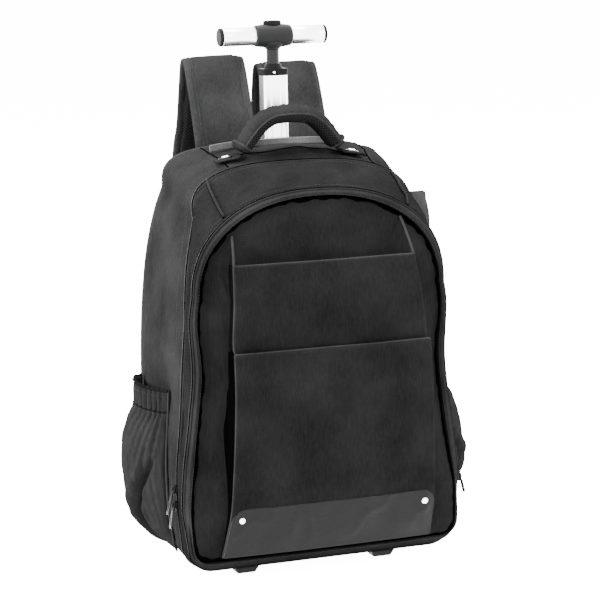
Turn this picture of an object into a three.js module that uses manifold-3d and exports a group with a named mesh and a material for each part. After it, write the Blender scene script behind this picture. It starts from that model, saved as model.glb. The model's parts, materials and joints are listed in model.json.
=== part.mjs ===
// Wheeled backpack with padded shoulder straps and a telescopic trolley pole.
// Millimetres. +X is the bag's right as its face is looked at, +Y runs from the face to the back, +Z is up.
// Shapes are worked out round the trolley pole, whose middle plane is Y = 0, with the floor at Z = 0.
// The group then moves them so that the middle of the bag's depth lies on the origin.
import * as THREE from 'three';
import { mergeVertices } from 'three/addons/utils/BufferGeometryUtils.js';
import Module from 'manifold-3d';

const wasm = await Module();
wasm.setup();

// Cloth body
const bodyHeight = 444;
const bodyHalfWidth = 152;
const bodyDepth = 125;
const backDepth = 20;
const floorGap = 14;
const gussetWall = 3;
const frontWall = 2.5;
const partitionWall = 1.5;
const gussetCrown = 5;
const zipTapeWidth = 6;
const zipTapeProud = 0.8;
const backPadding = 13;
const padEdgeRadius = 7;
const pipingProud = 5;
const faceCrown = 12;
const archSway = 4;
const backCorner = 28;
const frontCorner = 26;
const seamCorner = 16;
const frontLift = 1;
const seamLift = 15;

// Gaps: between pieces sewn together, under pieces that rest on flat or on curved cloth, behind the slot
// pockets' edges and between sliding pieces.
const seamGap = 0.3;
const restGap = 0.5;
const seatGap = 1;
const facetGap = 1.3;
const slideGap = 0.35;

// Slot pockets and guard on the face
const pocketWall = 2.2;
const pocketSwell = 3;
const lowerPocketFoot = 33;
const lowerPocketHeight = 212;
const upperPocketFoot = 215;
const upperPocketHeight = 118;
const panelHalfWidth = 118;
const guardHeight = 52;
const guardWall = 1.4;
const guardCorner = 15;
const rivetRadius = 4.6;
const rivetHeight = 2;
const rivetInset = 12;

// Gathered side pockets
const sidePocketTop = 199;
const gatherBand = 22;
const sidePocketFront = -82;
const sidePocketBack = 12;
const sidePocketBulge = 32;
const sidePocketWall = 2;
const gatherDepth = 2.2;
const gatherCount = 5;

// Grab handle, lip and tab
const handlePlane = -45;
const handleWidth = 28;
const handleThickness = 18;
const handleReach = 55;
const handleProud = 32;
const handleDip = 3;
const anchorWidth = 20;
const anchorThickness = 2;
const anchorReach = 82;
const anchorBarReach = 71;
const anchorBarWidth = 8;
const anchorBarDepth = 2.4;
const lipHeight = 7;
const lipWall = 2.2;
const lipLeft = -78;
const lipRight = 60;
const tabWall = 2.5;
const tabReach = 22;
const tabDrop = 55;
const tabHeight = 80;
const tabPlane = -70;
const sliderWidth = 7;
const sliderLength = 11;
const sliderHeight = 3.6;
const pullWidth = 5.4;
const pullThickness = 1.8;

// Shoulder straps
const strapSpacing = 42;
const strapHalfWidth = 34.5;
const strapThickness = 9;
const strapLoopHeight = 92;
const strapSlack = 86;
const strapLength = 208;
const rightStrapShare = 0.9;
const webbingWidth = 25;
const webbingThickness = 2;
const webbingFoot = 58;
const buckleWidth = 34;
const buckleHeight = 24;
const buckleThickness = 4.5;
const buckleBar = 4;

// Trolley
const poleWidth = 27;
const poleDepth = 20;
const poleWall = 1.4;
const poleTop = 519;
const poleLength = 390;
const poleCorner = 3.5;
const guideClearance = 0.5;
const guideWall = 1.8;
const fluteDepth = 0.7;
const neckRadius = 6.9;
const neckProud = 22.5;
const neckLength = 375;
const neckWall = 1.2;
const collarHeight = 6;
const collarRadius = 8.4;
const collarTaper = 0.4;
const collarPlate = 2;
const plugLength = 14;
const plugCorner = 1.5;
const gripLift = 14.5;
const gripSpan = 120;
const gripRadius = 9.7;
const gripWall = 1.5;
const gripCapLength = 3;
const gripCapEdge = 0.8;
const hubWidth = 40;
const hubRadius = 12.3;
const hubEndRadius = 11.2;
const buttonWidth = 20;
const buttonDepth = 12;
const buttonTravel = 3;
const buttonProud = 4;
const buttonSunk = 5;
const buttonCrown = 2;

// Wheels and base
const wheelRadius = 30;
const wheelWidth = 22;
const wheelInset = 47;
const wheelPlane = 17;
const tyreThickness = 7;
const tyreShoulder = 4;
const tyreInset = 1;
const bossWall = 4;
const webInset = 5;
const axleRadius = 3;
const axleGap = 0.4;
const wheelSideGap = 0.7;
const wheelWellGap = 2.5;
const housingWall = 5;
const housingFront = -24;
const housingBack = 37;
const housingFoot = 8;
const housingTop = 68;
const housingHeel = 15;
const housingChamfer = 10;
const basePlateThickness = 4;
const basePlateFront = -101;
const basePlateMargin = 4;
const footInset = 75;
const footPlane = -92;
const footWidth = 26;
const footDepth = 22;
const footTaper = 3;

// Finishes
const finishes = {
  cloth: { color: 0x26272a, roughness: 0.85, metalness: 0 },
  facing: { color: 0x222326, roughness: 0.8, metalness: 0 },
  mesh: { color: 0x17181a, roughness: 0.95, metalness: 0 },
  tape: { color: 0x1b1c1e, roughness: 0.7, metalness: 0 },
  leather: { color: 0x3a3b3d, roughness: 0.5, metalness: 0 },
  grey: { color: 0x9a9b9d, roughness: 0.75, metalness: 0 },
  aluminium: { color: 0xd8d9db, roughness: 0.28, metalness: 1 },
  chrome: { color: 0xe8e8ea, roughness: 0.12, metalness: 1 },
  plastic: { color: 0x3b3c3f, roughness: 0.5, metalness: 0 },
  rubber: { color: 0x1a1a1b, roughness: 0.9, metalness: 0 },
};

// Places worked out from the sizes
const neckTop = poleTop + neckProud;
const gripAxis = neckTop + gripLift;
const wheelTrack = bodyHalfWidth - wheelInset;
const footTrack = bodyHalfWidth - footInset;
const handleRise = bodyHeight + handleProud;
const handleEndRise = bodyHeight - handleDip;
const tabTop = bodyHeight - tabDrop;

const bag = new THREE.Group();

function place(name, geometry, finish) {
  const mesh = new THREE.Mesh(geometry, new THREE.MeshStandardMaterial(finishes[finish]));
  mesh.name = name;
  bag.add(mesh);
  return mesh;
}

const lerp = THREE.MathUtils.lerp;
const radians = THREE.MathUtils.degToRad;
const clamp = THREE.MathUtils.clamp;
const point = (x, y, z) => new THREE.Vector3(x, y, z);
const sides = [{ side: 'left', sign: -1 }, { side: 'right', sign: 1 }];

// A value from a table: rows in the order of key, straight lines between the rows.
function fromTable(rows, key, at, column) {
  if (at <= rows[0][key]) return rows[0][column];
  for (let i = 1; i < rows.length; i += 1) {
    if (at <= rows[i][key]) {
      const share = (at - rows[i - 1][key]) / (rows[i][key] - rows[i - 1][key]);
      return lerp(rows[i - 1][column], rows[i][column], share);
    }
  }
  return rows[rows.length - 1][column];
}

// Closed bodies from rings and grids of points

// Turns triangles so that the body's faces point out.
function closedBody(points, triangles) {
  let volume = 0;
  const cross = new THREE.Vector3();
  for (let i = 0; i < triangles.length; i += 3) {
    const [a, b, c] = [points[triangles[i]], points[triangles[i + 1]], points[triangles[i + 2]]];
    volume += a.dot(cross.crossVectors(b, c));
  }
  if (volume < 0) triangles.reverse();
  const geometry = new THREE.BufferGeometry();
  const places = points.flatMap((p) => [p.x, p.y, p.z]);
  geometry.setAttribute('position', new THREE.Float32BufferAttribute(places, 3));
  geometry.setIndex(triangles);
  return geometry;
}

// Rings of equally many points, each joined to the next. A wrapped body joins its last ring to its first,
// as a tube's wall does, and any other gets a fan at both ends.
function skin(rings, wrapped = false) {
  const count = rings[0].length;
  const points = rings.flat();
  const triangles = [];
  const steps = wrapped ? rings.length : rings.length - 1;
  for (let r = 0; r < steps; r += 1) {
    const near = r * count;
    const far = ((r + 1) % rings.length) * count;
    for (let i = 0; i < count; i += 1) {
      const next = (i + 1) % count;
      triangles.push(near + i, near + next, far + next, near + i, far + next, far + i);
    }
  }
  if (!wrapped) {
    const caps = [
      { ring: rings[0], first: 0, flipped: true },
      { ring: rings.at(-1), first: count * (rings.length - 1), flipped: false },
    ];
    for (const { ring, first, flipped } of caps) {
      const middle = ring.reduce((sum, p) => sum.add(p), new THREE.Vector3()).divideScalar(count);
      points.push(middle);
      for (let i = 0; i < count; i += 1) {
        const next = (i + 1) % count;
        const fan = [first + i, first + next, points.length - 1];
        triangles.push(...(flipped ? fan.reverse() : fan));
      }
    }
  }
  return closedBody(points, triangles);
}

// A bent sheet between two grids of the same rows and columns.
function sheet(outer, inner) {
  const rows = outer.length;
  const columns = outer[0].length;
  const points = [...outer.flat(), ...inner.flat()];
  const at = (face, r, c) => face * rows * columns + r * columns + c;
  const triangles = [];
  const quad = (a, b, c, d) => triangles.push(a, b, c, a, c, d);
  for (let r = 0; r < rows - 1; r += 1) {
    for (let c = 0; c < columns - 1; c += 1) {
      quad(at(0, r, c), at(0, r, c + 1), at(0, r + 1, c + 1), at(0, r + 1, c));
      quad(at(1, r, c), at(1, r + 1, c), at(1, r + 1, c + 1), at(1, r, c + 1));
    }
  }
  for (let c = 0; c < columns - 1; c += 1) {
    quad(at(0, 0, c), at(1, 0, c), at(1, 0, c + 1), at(0, 0, c + 1));
    quad(at(0, rows - 1, c), at(0, rows - 1, c + 1), at(1, rows - 1, c + 1), at(1, rows - 1, c));
  }
  for (let r = 0; r < rows - 1; r += 1) {
    quad(at(0, r, 0), at(0, r + 1, 0), at(1, r + 1, 0), at(1, r, 0));
    quad(at(0, r, columns - 1), at(1, r, columns - 1), at(1, r + 1, columns - 1), at(0, r + 1, columns - 1));
  }
  return closedBody(points, triangles);
}

// Joins and cuts
function solidOf(geometry) {
  const bare = geometry.clone();
  bare.deleteAttribute('normal');
  bare.deleteAttribute('uv');
  const merged = mergeVertices(bare, 1e-4);
  const vertProperties = new Float32Array(merged.attributes.position.array);
  const triVerts = new Uint32Array(merged.index.array);
  return new wasm.Manifold(new wasm.Mesh({ numProp: 3, vertProperties, triVerts }));
}

function geometryOf(solid) {
  const mesh = solid.getMesh();
  const geometry = new THREE.BufferGeometry();
  geometry.setAttribute('position', new THREE.Float32BufferAttribute(mesh.vertProperties, 3));
  geometry.setIndex(Array.from(mesh.triVerts));
  return geometry;
}

function cut(geometry, ...tools) {
  return geometryOf(tools.reduce((solid, tool) => solid.subtract(solidOf(tool)), solidOf(geometry)));
}

function join(geometry, ...others) {
  return geometryOf(others.reduce((solid, other) => solid.add(solidOf(other)), solidOf(geometry)));
}

function block(x0, x1, y0, y1, z0, z1) {
  const box = new THREE.BoxGeometry(x1 - x0, y1 - y0, z1 - z0);
  return box.translate((x0 + x1) / 2, (y0 + y1) / 2, (z0 + z1) / 2);
}

// The body's outlines, seen from the front

// Half widths at shares of the body's height, as shares of the body's half width.
// back: seam of the back panel, zip: main zipper, front: front zipper, seam: edge of the face.
const sideShape = [
  { height: 0.07, back: 0.93, zip: 0.975, front: 0.96, seam: 0.945 },
  { height: 0.12, back: 0.95, zip: 0.993, front: 0.98, seam: 0.963 },
  { height: 0.19, back: 0.965, zip: 1.01, front: 1.007, seam: 0.96 },
  { height: 0.27, back: 0.974, zip: 1.008, front: 0.993, seam: 0.928 },
  { height: 0.39, back: 0.98, zip: 0.974, front: 0.947, seam: 0.882 },
  { height: 0.51, back: 0.976, zip: 0.951, front: 0.914, seam: 0.849 },
  { height: 0.62, back: 0.958, zip: 0.924, front: 0.928, seam: 0.878 },
  { height: 0.676, back: 0.942, zip: 0.914, front: 0.908, seam: 0.862 },
  { height: 0.75, back: 0.912, zip: 0.883, front: 0.86, seam: 0.8 },
  { height: 0.85, back: 0.84, zip: 0.796, front: 0.7, seam: 0.6 },
  { height: 0.9, back: 0.783, zip: 0.74, front: 0.5, seam: 0.4 },
];

// How far each outline lies in front of the pole, as shares of the body's depth.
const depthShape = [
  { height: 0.03, zip: 0.84, front: 0.976, seam: 1.112 },
  { height: 0.07, zip: 0.864, front: 0.99, seam: 1.112 },
  { height: 0.19, zip: 0.88, front: 1, seam: 1.07 },
  { height: 0.39, zip: 0.88, front: 1, seam: 1.016 },
  { height: 0.69, zip: 0.864, front: 1, seam: 1.016 },
  { height: 0.8, zip: 0.776, front: 0.992, seam: 1.008 },
  { height: 0.85, zip: 0.704, front: 0.984, seam: 1 },
  { height: 0.91, zip: 0.6, front: 0.96, seam: 0.976 },
  { height: 0.966, zip: 0.52, front: 0.95, seam: 0.97 },
];

// Where each outline's sides turn into its top arch, its crest, the arch's squareness, its lower corners
// and how far its foot is lifted off the bottom.
const outlines = {
  back: { shoulder: 0.9, crest: 0.991, power: 3.5, corner: backCorner, lift: 0 },
  zip: { shoulder: 0.85, crest: 0.966, power: 2.7, corner: backCorner, lift: 0 },
  front: { shoulder: 0.676, crest: 0.911, power: 2.3, corner: frontCorner, lift: frontLift },
  seam: { shoulder: 0.676, crest: 0.893, power: 2.12, corner: seamCorner, lift: seamLift },
};
const sideStations = [0.12, 0.19, 0.27, 0.39, 0.51, 0.62];
const cornerSteps = 3;
const archSteps = 8;

function halfWidthAt(name, z) {
  return bodyHalfWidth * fromTable(sideShape, 'height', z / bodyHeight, name);
}

function depthAt(name, z) {
  if (name === 'back') return backDepth;
  return -bodyDepth * fromTable(depthShape, 'height', z / bodyHeight, name);
}

// One closed outline, from the middle of the foot up its right side and down its left.
function outline(name) {
  const { shoulder, crest, power, corner, lift } = outlines[name];
  const foot = floorGap + lift;
  const cornerTop = foot + corner;
  const sideFoot = halfWidthAt(name, cornerTop);
  const arch = { foot: shoulder * bodyHeight, half: halfWidthAt(name, shoulder * bodyHeight) };
  const right = [[0, foot], [(sideFoot - corner) / 2, foot]];
  for (let k = 0; k <= cornerSteps; k += 1) {
    const angle = radians(-90 + (90 * k) / cornerSteps);
    right.push([sideFoot - corner + corner * Math.cos(angle), cornerTop + corner * Math.sin(angle)]);
  }
  for (const station of sideStations) {
    const z = station * bodyHeight;
    if (z > cornerTop + 1) right.push([halfWidthAt(name, z), z]);
  }
  const lastStation = sideStations.at(-1) * bodyHeight;
  for (const share of [0.35, 0.7, 1]) {
    const z = lerp(lastStation, arch.foot, share);
    right.push([halfWidthAt(name, z), z]);
  }
  for (let k = 1; k <= archSteps; k += 1) {
    const angle = radians((90 * k) / archSteps);
    const across = Math.max(Math.cos(angle), 0) ** (2 / power);
    const up = Math.sin(angle) ** (2 / power);
    right.push([k === archSteps ? 0 : arch.half * across, lerp(arch.foot, crest * bodyHeight, up)]);
  }
  const left = right.slice(1, -1).reverse().map(([x, z]) => [-x, z]);
  const leans = name === 'front' || name === 'seam';
  return [...right, ...left].map(([x, z]) => {
    const sway = leans ? archSway * (z / bodyHeight) ** 2 : 0;
    return point(x + sway, depthAt(name, z), z);
  });
}

// Moves an outline outwards, or inwards if distance is negative, and to and fro by shift.
function offset(loop, distance, shift = 0) {
  return loop.map((p, i) => {
    const before = loop[(i + loop.length - 1) % loop.length];
    const after = loop[(i + 1) % loop.length];
    const a = new THREE.Vector2(p.x - before.x, p.z - before.z).normalize();
    const b = new THREE.Vector2(after.x - p.x, after.z - p.z).normalize();
    const normal = new THREE.Vector2(a.y + b.y, -a.x - b.x).normalize();
    const stretch = Math.min(1 / Math.max(normal.dot(new THREE.Vector2(b.y, -b.x)), 0.5), 1.3);
    return point(p.x + normal.x * distance * stretch, p.y + shift, p.z + normal.y * distance * stretch);
  });
}

function between(nearLoop, farLoop, share) {
  return nearLoop.map((p, i) => p.clone().lerp(farLoop[i], share));
}

const backLoop = outline('back');
const zipLoop = outline('zip');
const frontLoop = outline('front');
const seamLoop = outline('seam');

// The gusset's ridge, a little nearer to the back, swells outwards by its crown, but not at the foot.
const ridgeShare = 0.38;
const fullCrownShare = 0.33;
const straightRidge = between(backLoop, zipLoop, ridgeShare);
const outward = offset(straightRidge, 1);
const ridgeLoop = straightRidge.map((p, i) => {
  const crown = gussetCrown * clamp((p.z - floorGap) / (bodyHeight * fullCrownShare), 0, 1);
  return p.clone().lerp(outward[i], crown);
});

// A wall between outlines: their outer side, and the same outlines moved in by the wall.
function ringWall(loops, wall) {
  return skin([...loops, ...loops.map((loop) => offset(loop, -wall)).reverse()], true);
}

// The gusset's outer side at a height and a depth, and the roof's height at a place.
const gussetLoops = [backLoop, ridgeLoop, zipLoop];

function loopSideAt(loop, z) {
  const last = Math.floor(loop.length / 2);
  for (let i = 1; i < last; i += 1) {
    if (z <= loop[i + 1].z) {
      const share = clamp((z - loop[i].z) / (loop[i + 1].z - loop[i].z), 0, 1);
      return loop[i].clone().lerp(loop[i + 1], share);
    }
  }
  return loop[last].clone();
}

function gussetSideAt(y, z) {
  const [back, ridge, zip] = gussetLoops.map((loop) => loopSideAt(loop, z));
  const [near, far] = y > ridge.y ? [back, ridge] : [ridge, zip];
  return lerp(near.x, far.x, clamp((y - near.y) / (far.y - near.y), 0, 1));
}

function loopRoofAt(loop, x) {
  const last = Math.floor(loop.length / 2);
  for (let i = last; i > 1; i -= 1) {
    if (Math.abs(x) <= loop[i - 1].x) {
      const share = (Math.abs(x) - loop[i].x) / (loop[i - 1].x - loop[i].x);
      return loop[i].clone().lerp(loop[i - 1], share);
    }
  }
  return loop[last].clone();
}

function roofAt(x, y) {
  const [back, ridge, zip] = gussetLoops.map((loop) => loopRoofAt(loop, x));
  const [near, far] = y > ridge.y ? [back, ridge] : [ridge, zip];
  return lerp(near.z, far.z, clamp((y - near.y) / (far.y - near.y), 0, 1));
}

// Wheel housings and the notches that they need

function housingBlock(sign, clearance) {
  const half = wheelWidth / 2 + wheelSideGap + housingWall + clearance;
  const ends = [sign * wheelTrack - half, sign * wheelTrack + half];
  return { ends, front: housingFront - clearance, top: housingTop + clearance };
}

function housingNotch(sign) {
  const { ends, front, top } = housingBlock(sign, restGap);
  return block(ends[0], ends[1], front, backDepth + backPadding + housingBack, 0, top);
}

// The pole's slot cuts the roof alone.
const slotHalfWidth = poleWidth / 2 + guideClearance;
const slotHalfDepth = poleDepth / 2 + guideClearance;
const slotHeights = [bodyHeight * 0.9, bodyHeight * 1.1];
const poleSlot = block(-slotHalfWidth, slotHalfWidth, -slotHalfDepth, slotHalfDepth, ...slotHeights);

function mainCompartment() {
  const tapeBack = offset(zipLoop, 0, zipTapeWidth / 2 + seamGap);
  const shell = ringWall([backLoop, ridgeLoop, tapeBack], gussetWall);
  place('main_shell', cut(shell, poleSlot, housingNotch(-1), housingNotch(1)), 'cloth');

  const slabLoops = [
    offset(backLoop, 0, seamGap),
    offset(backLoop, 0, backPadding - padEdgeRadius),
    offset(backLoop, -padEdgeRadius * (1 - Math.SQRT1_2), backPadding - padEdgeRadius * (1 - Math.SQRT1_2)),
    offset(backLoop, -padEdgeRadius, backPadding + seamGap),
  ];
  place('back_panel', cut(skin(slabLoops), housingNotch(-1), housingNotch(1)), 'mesh');

  const tape = (loop, halfWidth) => [
    offset(loop, zipTapeProud, halfWidth),
    offset(loop, zipTapeProud, -halfWidth),
    offset(loop, -gussetWall, -halfWidth),
    offset(loop, -gussetWall, halfWidth),
  ];
  place('main_zip', skin(tape(zipLoop, zipTapeWidth / 2), true), 'tape');
  place('front_zip', skin(tape(frontLoop, zipTapeWidth / 2), true), 'tape');

  // The partition is a dish with its rim behind the main zipper.
  const rim = offset(zipLoop, -gussetWall - seamGap);
  const middle = point(0, depthAt('zip', bodyHeight / 2), bodyHeight / 2);
  const shrunk = (share) => rim.map((p) => {
    const q = middle.clone().lerp(p, share);
    q.y = lerp(middle.y, p.y, share * share);
    return q;
  });
  const nearSide = [0.5, 1].map(shrunk);
  const farSide = [1, 0.5].map(shrunk).map((loop) => offset(loop, 0, -partitionWall));
  place('partition', skin([...nearSide, ...farSide]), 'cloth');
}

function frontCompartment() {
  const zipSide = offset(zipLoop, 0, -zipTapeWidth / 2 - seamGap);
  const frontSide = offset(frontLoop, 0, zipTapeWidth / 2 + seamGap);
  place('front_gusset', ringWall([zipSide, between(zipSide, frontSide, 0.5), frontSide], frontWall), 'cloth');
}

// The face: a shallow bowl whose rim is a rounded piping, with a groove where the face is sewn in.
const faceMiddle = point(archSway / 2, 0, bodyHeight * 0.49);
const faceShares = [0.95, 0.82, 0.55, 0.25];
const crestShare = 0.45;
const pipingShoulder = 0.75;
const grooveShare = 0.5;

function faceRing(share, inward) {
  return seamLoop.map((p) => {
    const x = lerp(faceMiddle.x, p.x, share);
    const z = lerp(faceMiddle.z, p.z, share);
    const crown = faceCrown * (1 - share ** 3);
    return point(x, depthAt('seam', z) - crown + inward, z);
  });
}

function faceOuterRings() {
  const tapeFront = -zipTapeWidth / 2 - seamGap;
  const crest = offset(between(frontLoop, seamLoop, crestShare), 0, -pipingProud);
  const groove = offset(seamLoop, restGap, pipingProud * grooveShare);
  return [offset(frontLoop, 0, tapeFront), between(frontLoop, crest, pipingShoulder), crest, groove];
}

const faceOuter = [...faceOuterRings(), ...faceShares.map((share) => faceRing(share, 0))];

function frontFace() {
  const rimInner = faceOuter.slice(0, 4).map((loop) => offset(loop, -frontWall, frontWall));
  rimInner[0] = offset(faceOuter[0], -frontWall);
  const inner = [...rimInner, ...faceShares.map((share) => faceRing(share, frontWall))];
  place('front_face', skin([...faceOuter.toReversed(), ...inner]), 'facing');
}

// The height of the face's outer side in front of a place, read from its facets.
function faceDepthAt(x, z) {
  const rings = faceOuter.slice(3);
  const side = (a, b) => (b.x - a.x) * (z - a.z) - (b.z - a.z) * (x - a.x);
  const share = (a, b, c) => [side(b, c), side(c, a), side(a, b)];
  for (let r = 0; r < rings.length - 1; r += 1) {
    for (let i = 0; i < rings[r].length; i += 1) {
      const next = (i + 1) % rings[r].length;
      const [a, b, c, d] = [rings[r][i], rings[r][next], rings[r + 1][next], rings[r + 1][i]];
      for (const [p, q, s] of [[a, b, c], [a, c, d]]) {
        const w = share(p, q, s);
        const total = w[0] + w[1] + w[2];
        if (w.every((value) => value * Math.sign(total) >= -1e-6)) {
          return (p.y * w[0] + q.y * w[1] + s.y * w[2]) / total;
        }
      }
    }
  }
  return rings.at(-1).reduce((sum, p) => sum + p.y, 0) / rings[0].length;
}

// Slot pockets: a front sheet with sides and a foot that turn back to the face, open at the top.
// height: share of the pocket's height, depth: share of the body's depth, half: share of the panel's half
// width, sway: shift to the right as a share of the panel's half width.
const lowerPocketShape = [
  { height: 0, depth: 1.15, half: 1, sway: 0.008 },
  { height: 0.08, depth: 1.19, half: 0.99, sway: 0.02 },
  { height: 0.22, depth: 1.238, half: 0.975, sway: 0.045 },
  { height: 0.42, depth: 1.28, half: 0.96, sway: 0.05 },
  { height: 0.65, depth: 1.296, half: 0.945, sway: 0.055 },
  { height: 0.84, depth: 1.286, half: 0.935, sway: 0.06 },
  { height: 1, depth: 1.262, half: 0.93, sway: 0.06 },
];
const upperPocketShape = [
  { height: 0, depth: 1.2, half: 0.87, sway: 0.06 },
  { height: 0.24, depth: 1.204, half: 0.9, sway: 0.06 },
  { height: 0.3, depth: 1.206, half: 0.918, sway: 0.058 },
  { height: 0.65, depth: 1.21, half: 0.89, sway: 0.045 },
  { height: 1, depth: 1.168, half: 0.86, sway: 0.03 },
];
const pocketColumns = 8;

function pocketFront(shape, foot, height, across, z) {
  const share = (z - foot) / height;
  const half = panelHalfWidth * fromTable(shape, 'height', share, 'half');
  const sway = panelHalfWidth * fromTable(shape, 'height', share, 'sway');
  const swell = pocketSwell * (1 - across ** 2);
  const depth = bodyDepth * fromTable(shape, 'height', share, 'depth') + swell;
  return { x: sway + across * half, y: -depth };
}

function slotPocket(name, shape, foot, height) {
  const grid = (wall) => {
    const zs = shape.map((row) => foot + row.height * height);
    const rows = zs.map((z, r) => {
      const level = r === 0 ? z + wall : z;
      const row = [];
      for (let c = 0; c <= pocketColumns; c += 1) {
        const across = (2 * c) / pocketColumns - 1;
        const { x, y } = pocketFront(shape, foot, height, across, z);
        row.push(point(x - Math.sign(across) * (Math.abs(across) === 1 ? wall : 0), y + wall, level));
      }
      const [first, last] = [row[0], row.at(-1)];
      const back = (p) => point(p.x, faceDepthAt(p.x, level) - facetGap, level);
      return [back(first), ...row, back(last)];
    });
    const footRow = rows[0].map((p) => point(p.x, faceDepthAt(p.x, p.z) - facetGap, p.z));
    return [footRow, ...rows];
  };
  place(name, sheet(grid(0), grid(pocketWall)), 'facing');
}

function facePockets() {
  slotPocket('lower_pocket', lowerPocketShape, lowerPocketFoot, lowerPocketHeight);
  slotPocket('upper_pocket', upperPocketShape, upperPocketFoot, upperPocketHeight);
}

const lowerFront = (across, z) => {
  const { x, y } = pocketFront(lowerPocketShape, lowerPocketFoot, lowerPocketHeight, across, z);
  return point(x, y, z);
};

// The guard lies on the lower pocket's foot and follows it, with rounded upper corners.
const guardLevels = [0, 0.33, 0.7, 0.8, 0.9, 0.97, 1];
const rivetShoulder = { radius: 0.95, height: 0.6 };

function leatherGuard() {
  const grid = (lift) => guardLevels.map((level) => {
    const z = lowerPocketFoot + level * guardHeight;
    const rise = Math.max(z - (lowerPocketFoot + guardHeight - guardCorner), 0);
    const trim = (guardCorner - Math.sqrt(guardCorner ** 2 - rise ** 2)) / panelHalfWidth;
    const row = [];
    for (let c = 0; c <= pocketColumns; c += 1) {
      const across = ((2 * c) / pocketColumns - 1) * (1 - trim);
      const p = lowerFront(across, z);
      row.push(point(p.x, p.y - restGap - lift, z));
    }
    return row;
  });
  place('leather_guard', sheet(grid(guardWall), grid(0)), 'leather');

  for (const { side, sign } of sides) {
    const z = lowerPocketFoot + guardHeight - rivetInset;
    const across = sign * (1 - rivetInset / panelHalfWidth);
    const seat = lowerFront(across, z);
    const up = lowerFront(across, z + rivetRadius).sub(lowerFront(across, z - rivetRadius));
    const aside = rivetRadius / panelHalfWidth;
    const right = lowerFront(across + aside / 2, z).sub(lowerFront(across - aside / 2, z));
    const normal = right.cross(up).normalize();
    const rivet = turned([
      [0, 0], [rivetRadius, 0],
      [rivetRadius * rivetShoulder.radius, rivetHeight * rivetShoulder.height], [0, rivetHeight],
    ]);
    const mesh = place(`rivet_${side}`, rivet, 'chrome');
    mesh.quaternion.setFromUnitVectors(new THREE.Vector3(0, 1, 0), normal);
    mesh.position.copy(seat).addScaledVector(normal, restGap * 2 + guardWall);
  }
}

// Side pockets: a gathered cup sewn to the gusset at its front, foot and back.
// height: share of the pocket's height, bulge: share of its full bulge, gather: share of the gathers' depth.
const sidePocketShape = [
  { height: 0, bulge: 0, gather: 0 },
  { height: 0.08, bulge: 0.42, gather: 0.1 },
  { height: 0.2, bulge: 0.78, gather: 0.25 },
  { height: 0.4, bulge: 1, gather: 0.35 },
  { height: 0.6, bulge: 0.97, gather: 0.45 },
  { height: 0.76, bulge: 0.72, gather: 0.7 },
  { height: 0.87, bulge: 0.44, gather: 1 },
  { height: 0.94, bulge: 0.45, gather: 1 },
  { height: 1, bulge: 0.42, gather: 0.8 },
];
const sidePocketColumns = gatherCount * 4;
const cupSquareness = 0.6;

// The pocket's rows lie on the gusset's own corners, so that the cup follows the facets behind it.
function sidePocketLevels() {
  const foot = floorGap + outlines.back.corner / 2;
  const stations = backLoop.slice(0, backLoop.length / 2).map((p) => p.z);
  const band = [gatherBand, gatherBand / 2, 0].map((drop) => sidePocketTop - drop);
  const below = stations.filter((z) => z >= foot - 0.01 && z < band[0] - gatherBand / 2);
  const belly = lerp(below.at(-2), below.at(-1), 0.5);
  return [...below.slice(0, -1), belly, below.at(-1), ...band];
}

function sidePocket(side, sign) {
  const levels = sidePocketLevels();
  const [foot, top] = [levels[0], levels.at(-1)];
  const grid = (wall) => levels.map((z) => {
    const height = (z - foot) / (top - foot);
    const bulge = fromTable(sidePocketShape, 'height', height, 'bulge');
    const gather = fromTable(sidePocketShape, 'height', height, 'gather');
    const row = [];
    for (let c = 0; c <= sidePocketColumns; c += 1) {
      const along = c / sidePocketColumns;
      const y = lerp(sidePocketFront, sidePocketBack, along);
      const swell = Math.max(Math.sin(Math.PI * along), 0) ** cupSquareness;
      const wave = gatherDepth * gather * swell * Math.cos(2 * Math.PI * gatherCount * along);
      const stand = Math.max(sidePocketBulge * bulge * swell + wave, 0);
      const x = gussetSideAt(y, z) + seatGap + sidePocketWall + stand - wall;
      row.push(point(sign * x, y, z));
    }
    return row;
  });
  place(`side_pocket_${side}`, sheet(grid(0), grid(sidePocketWall)), 'cloth');
}

// Swept pieces: a section carried along a path, wide along X.
// Each stop has a place, a half width and a thickness.
function sweep(stops, sectionCorner = 0.3) {
  const rings = stops.map((stop, i) => {
    const before = stops[Math.max(i - 1, 0)].place;
    const after = stops[Math.min(i + 1, stops.length - 1)].place;
    const along = after.clone().sub(before).normalize();
    const across = stop.across.clone();
    const out = new THREE.Vector3().crossVectors(across, along).normalize();
    const halfThick = stop.thickness / 2;
    const trim = halfThick * 2 * sectionCorner;
    const section = [
      [-1, -1, 1, 0], [-1, -1, 0, 1], [-1, 1, 0, 1], [-1, 1, 1, 0],
      [1, 1, 1, 0], [1, 1, 0, 1], [1, -1, 0, 1], [1, -1, 1, 0],
    ];
    return section.map(([sx, sy, trimX, trimY]) => stop.place.clone()
      .addScaledVector(across, sx * (stop.half - trimX * trim))
      .addScaledVector(out, sy * (halfThick - trimY * trim)));
  });
  return skin(rings);
}

// Grab handle: a padded arch whose ends meet the roof at a slant.
// reach and rise are shares of its half span and of its height over its ends.
const handleArch = [
  { reach: 1, rise: 0 },
  { reach: 0.83, rise: 0.34 },
  { reach: 0.62, rise: 0.7 },
  { reach: 0.36, rise: 0.94 },
  { reach: 0, rise: 1 },
];
const anchorBend = 0.35;
const body = skin(gussetLoops.map((loop) => offset(loop, restGap)));

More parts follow.
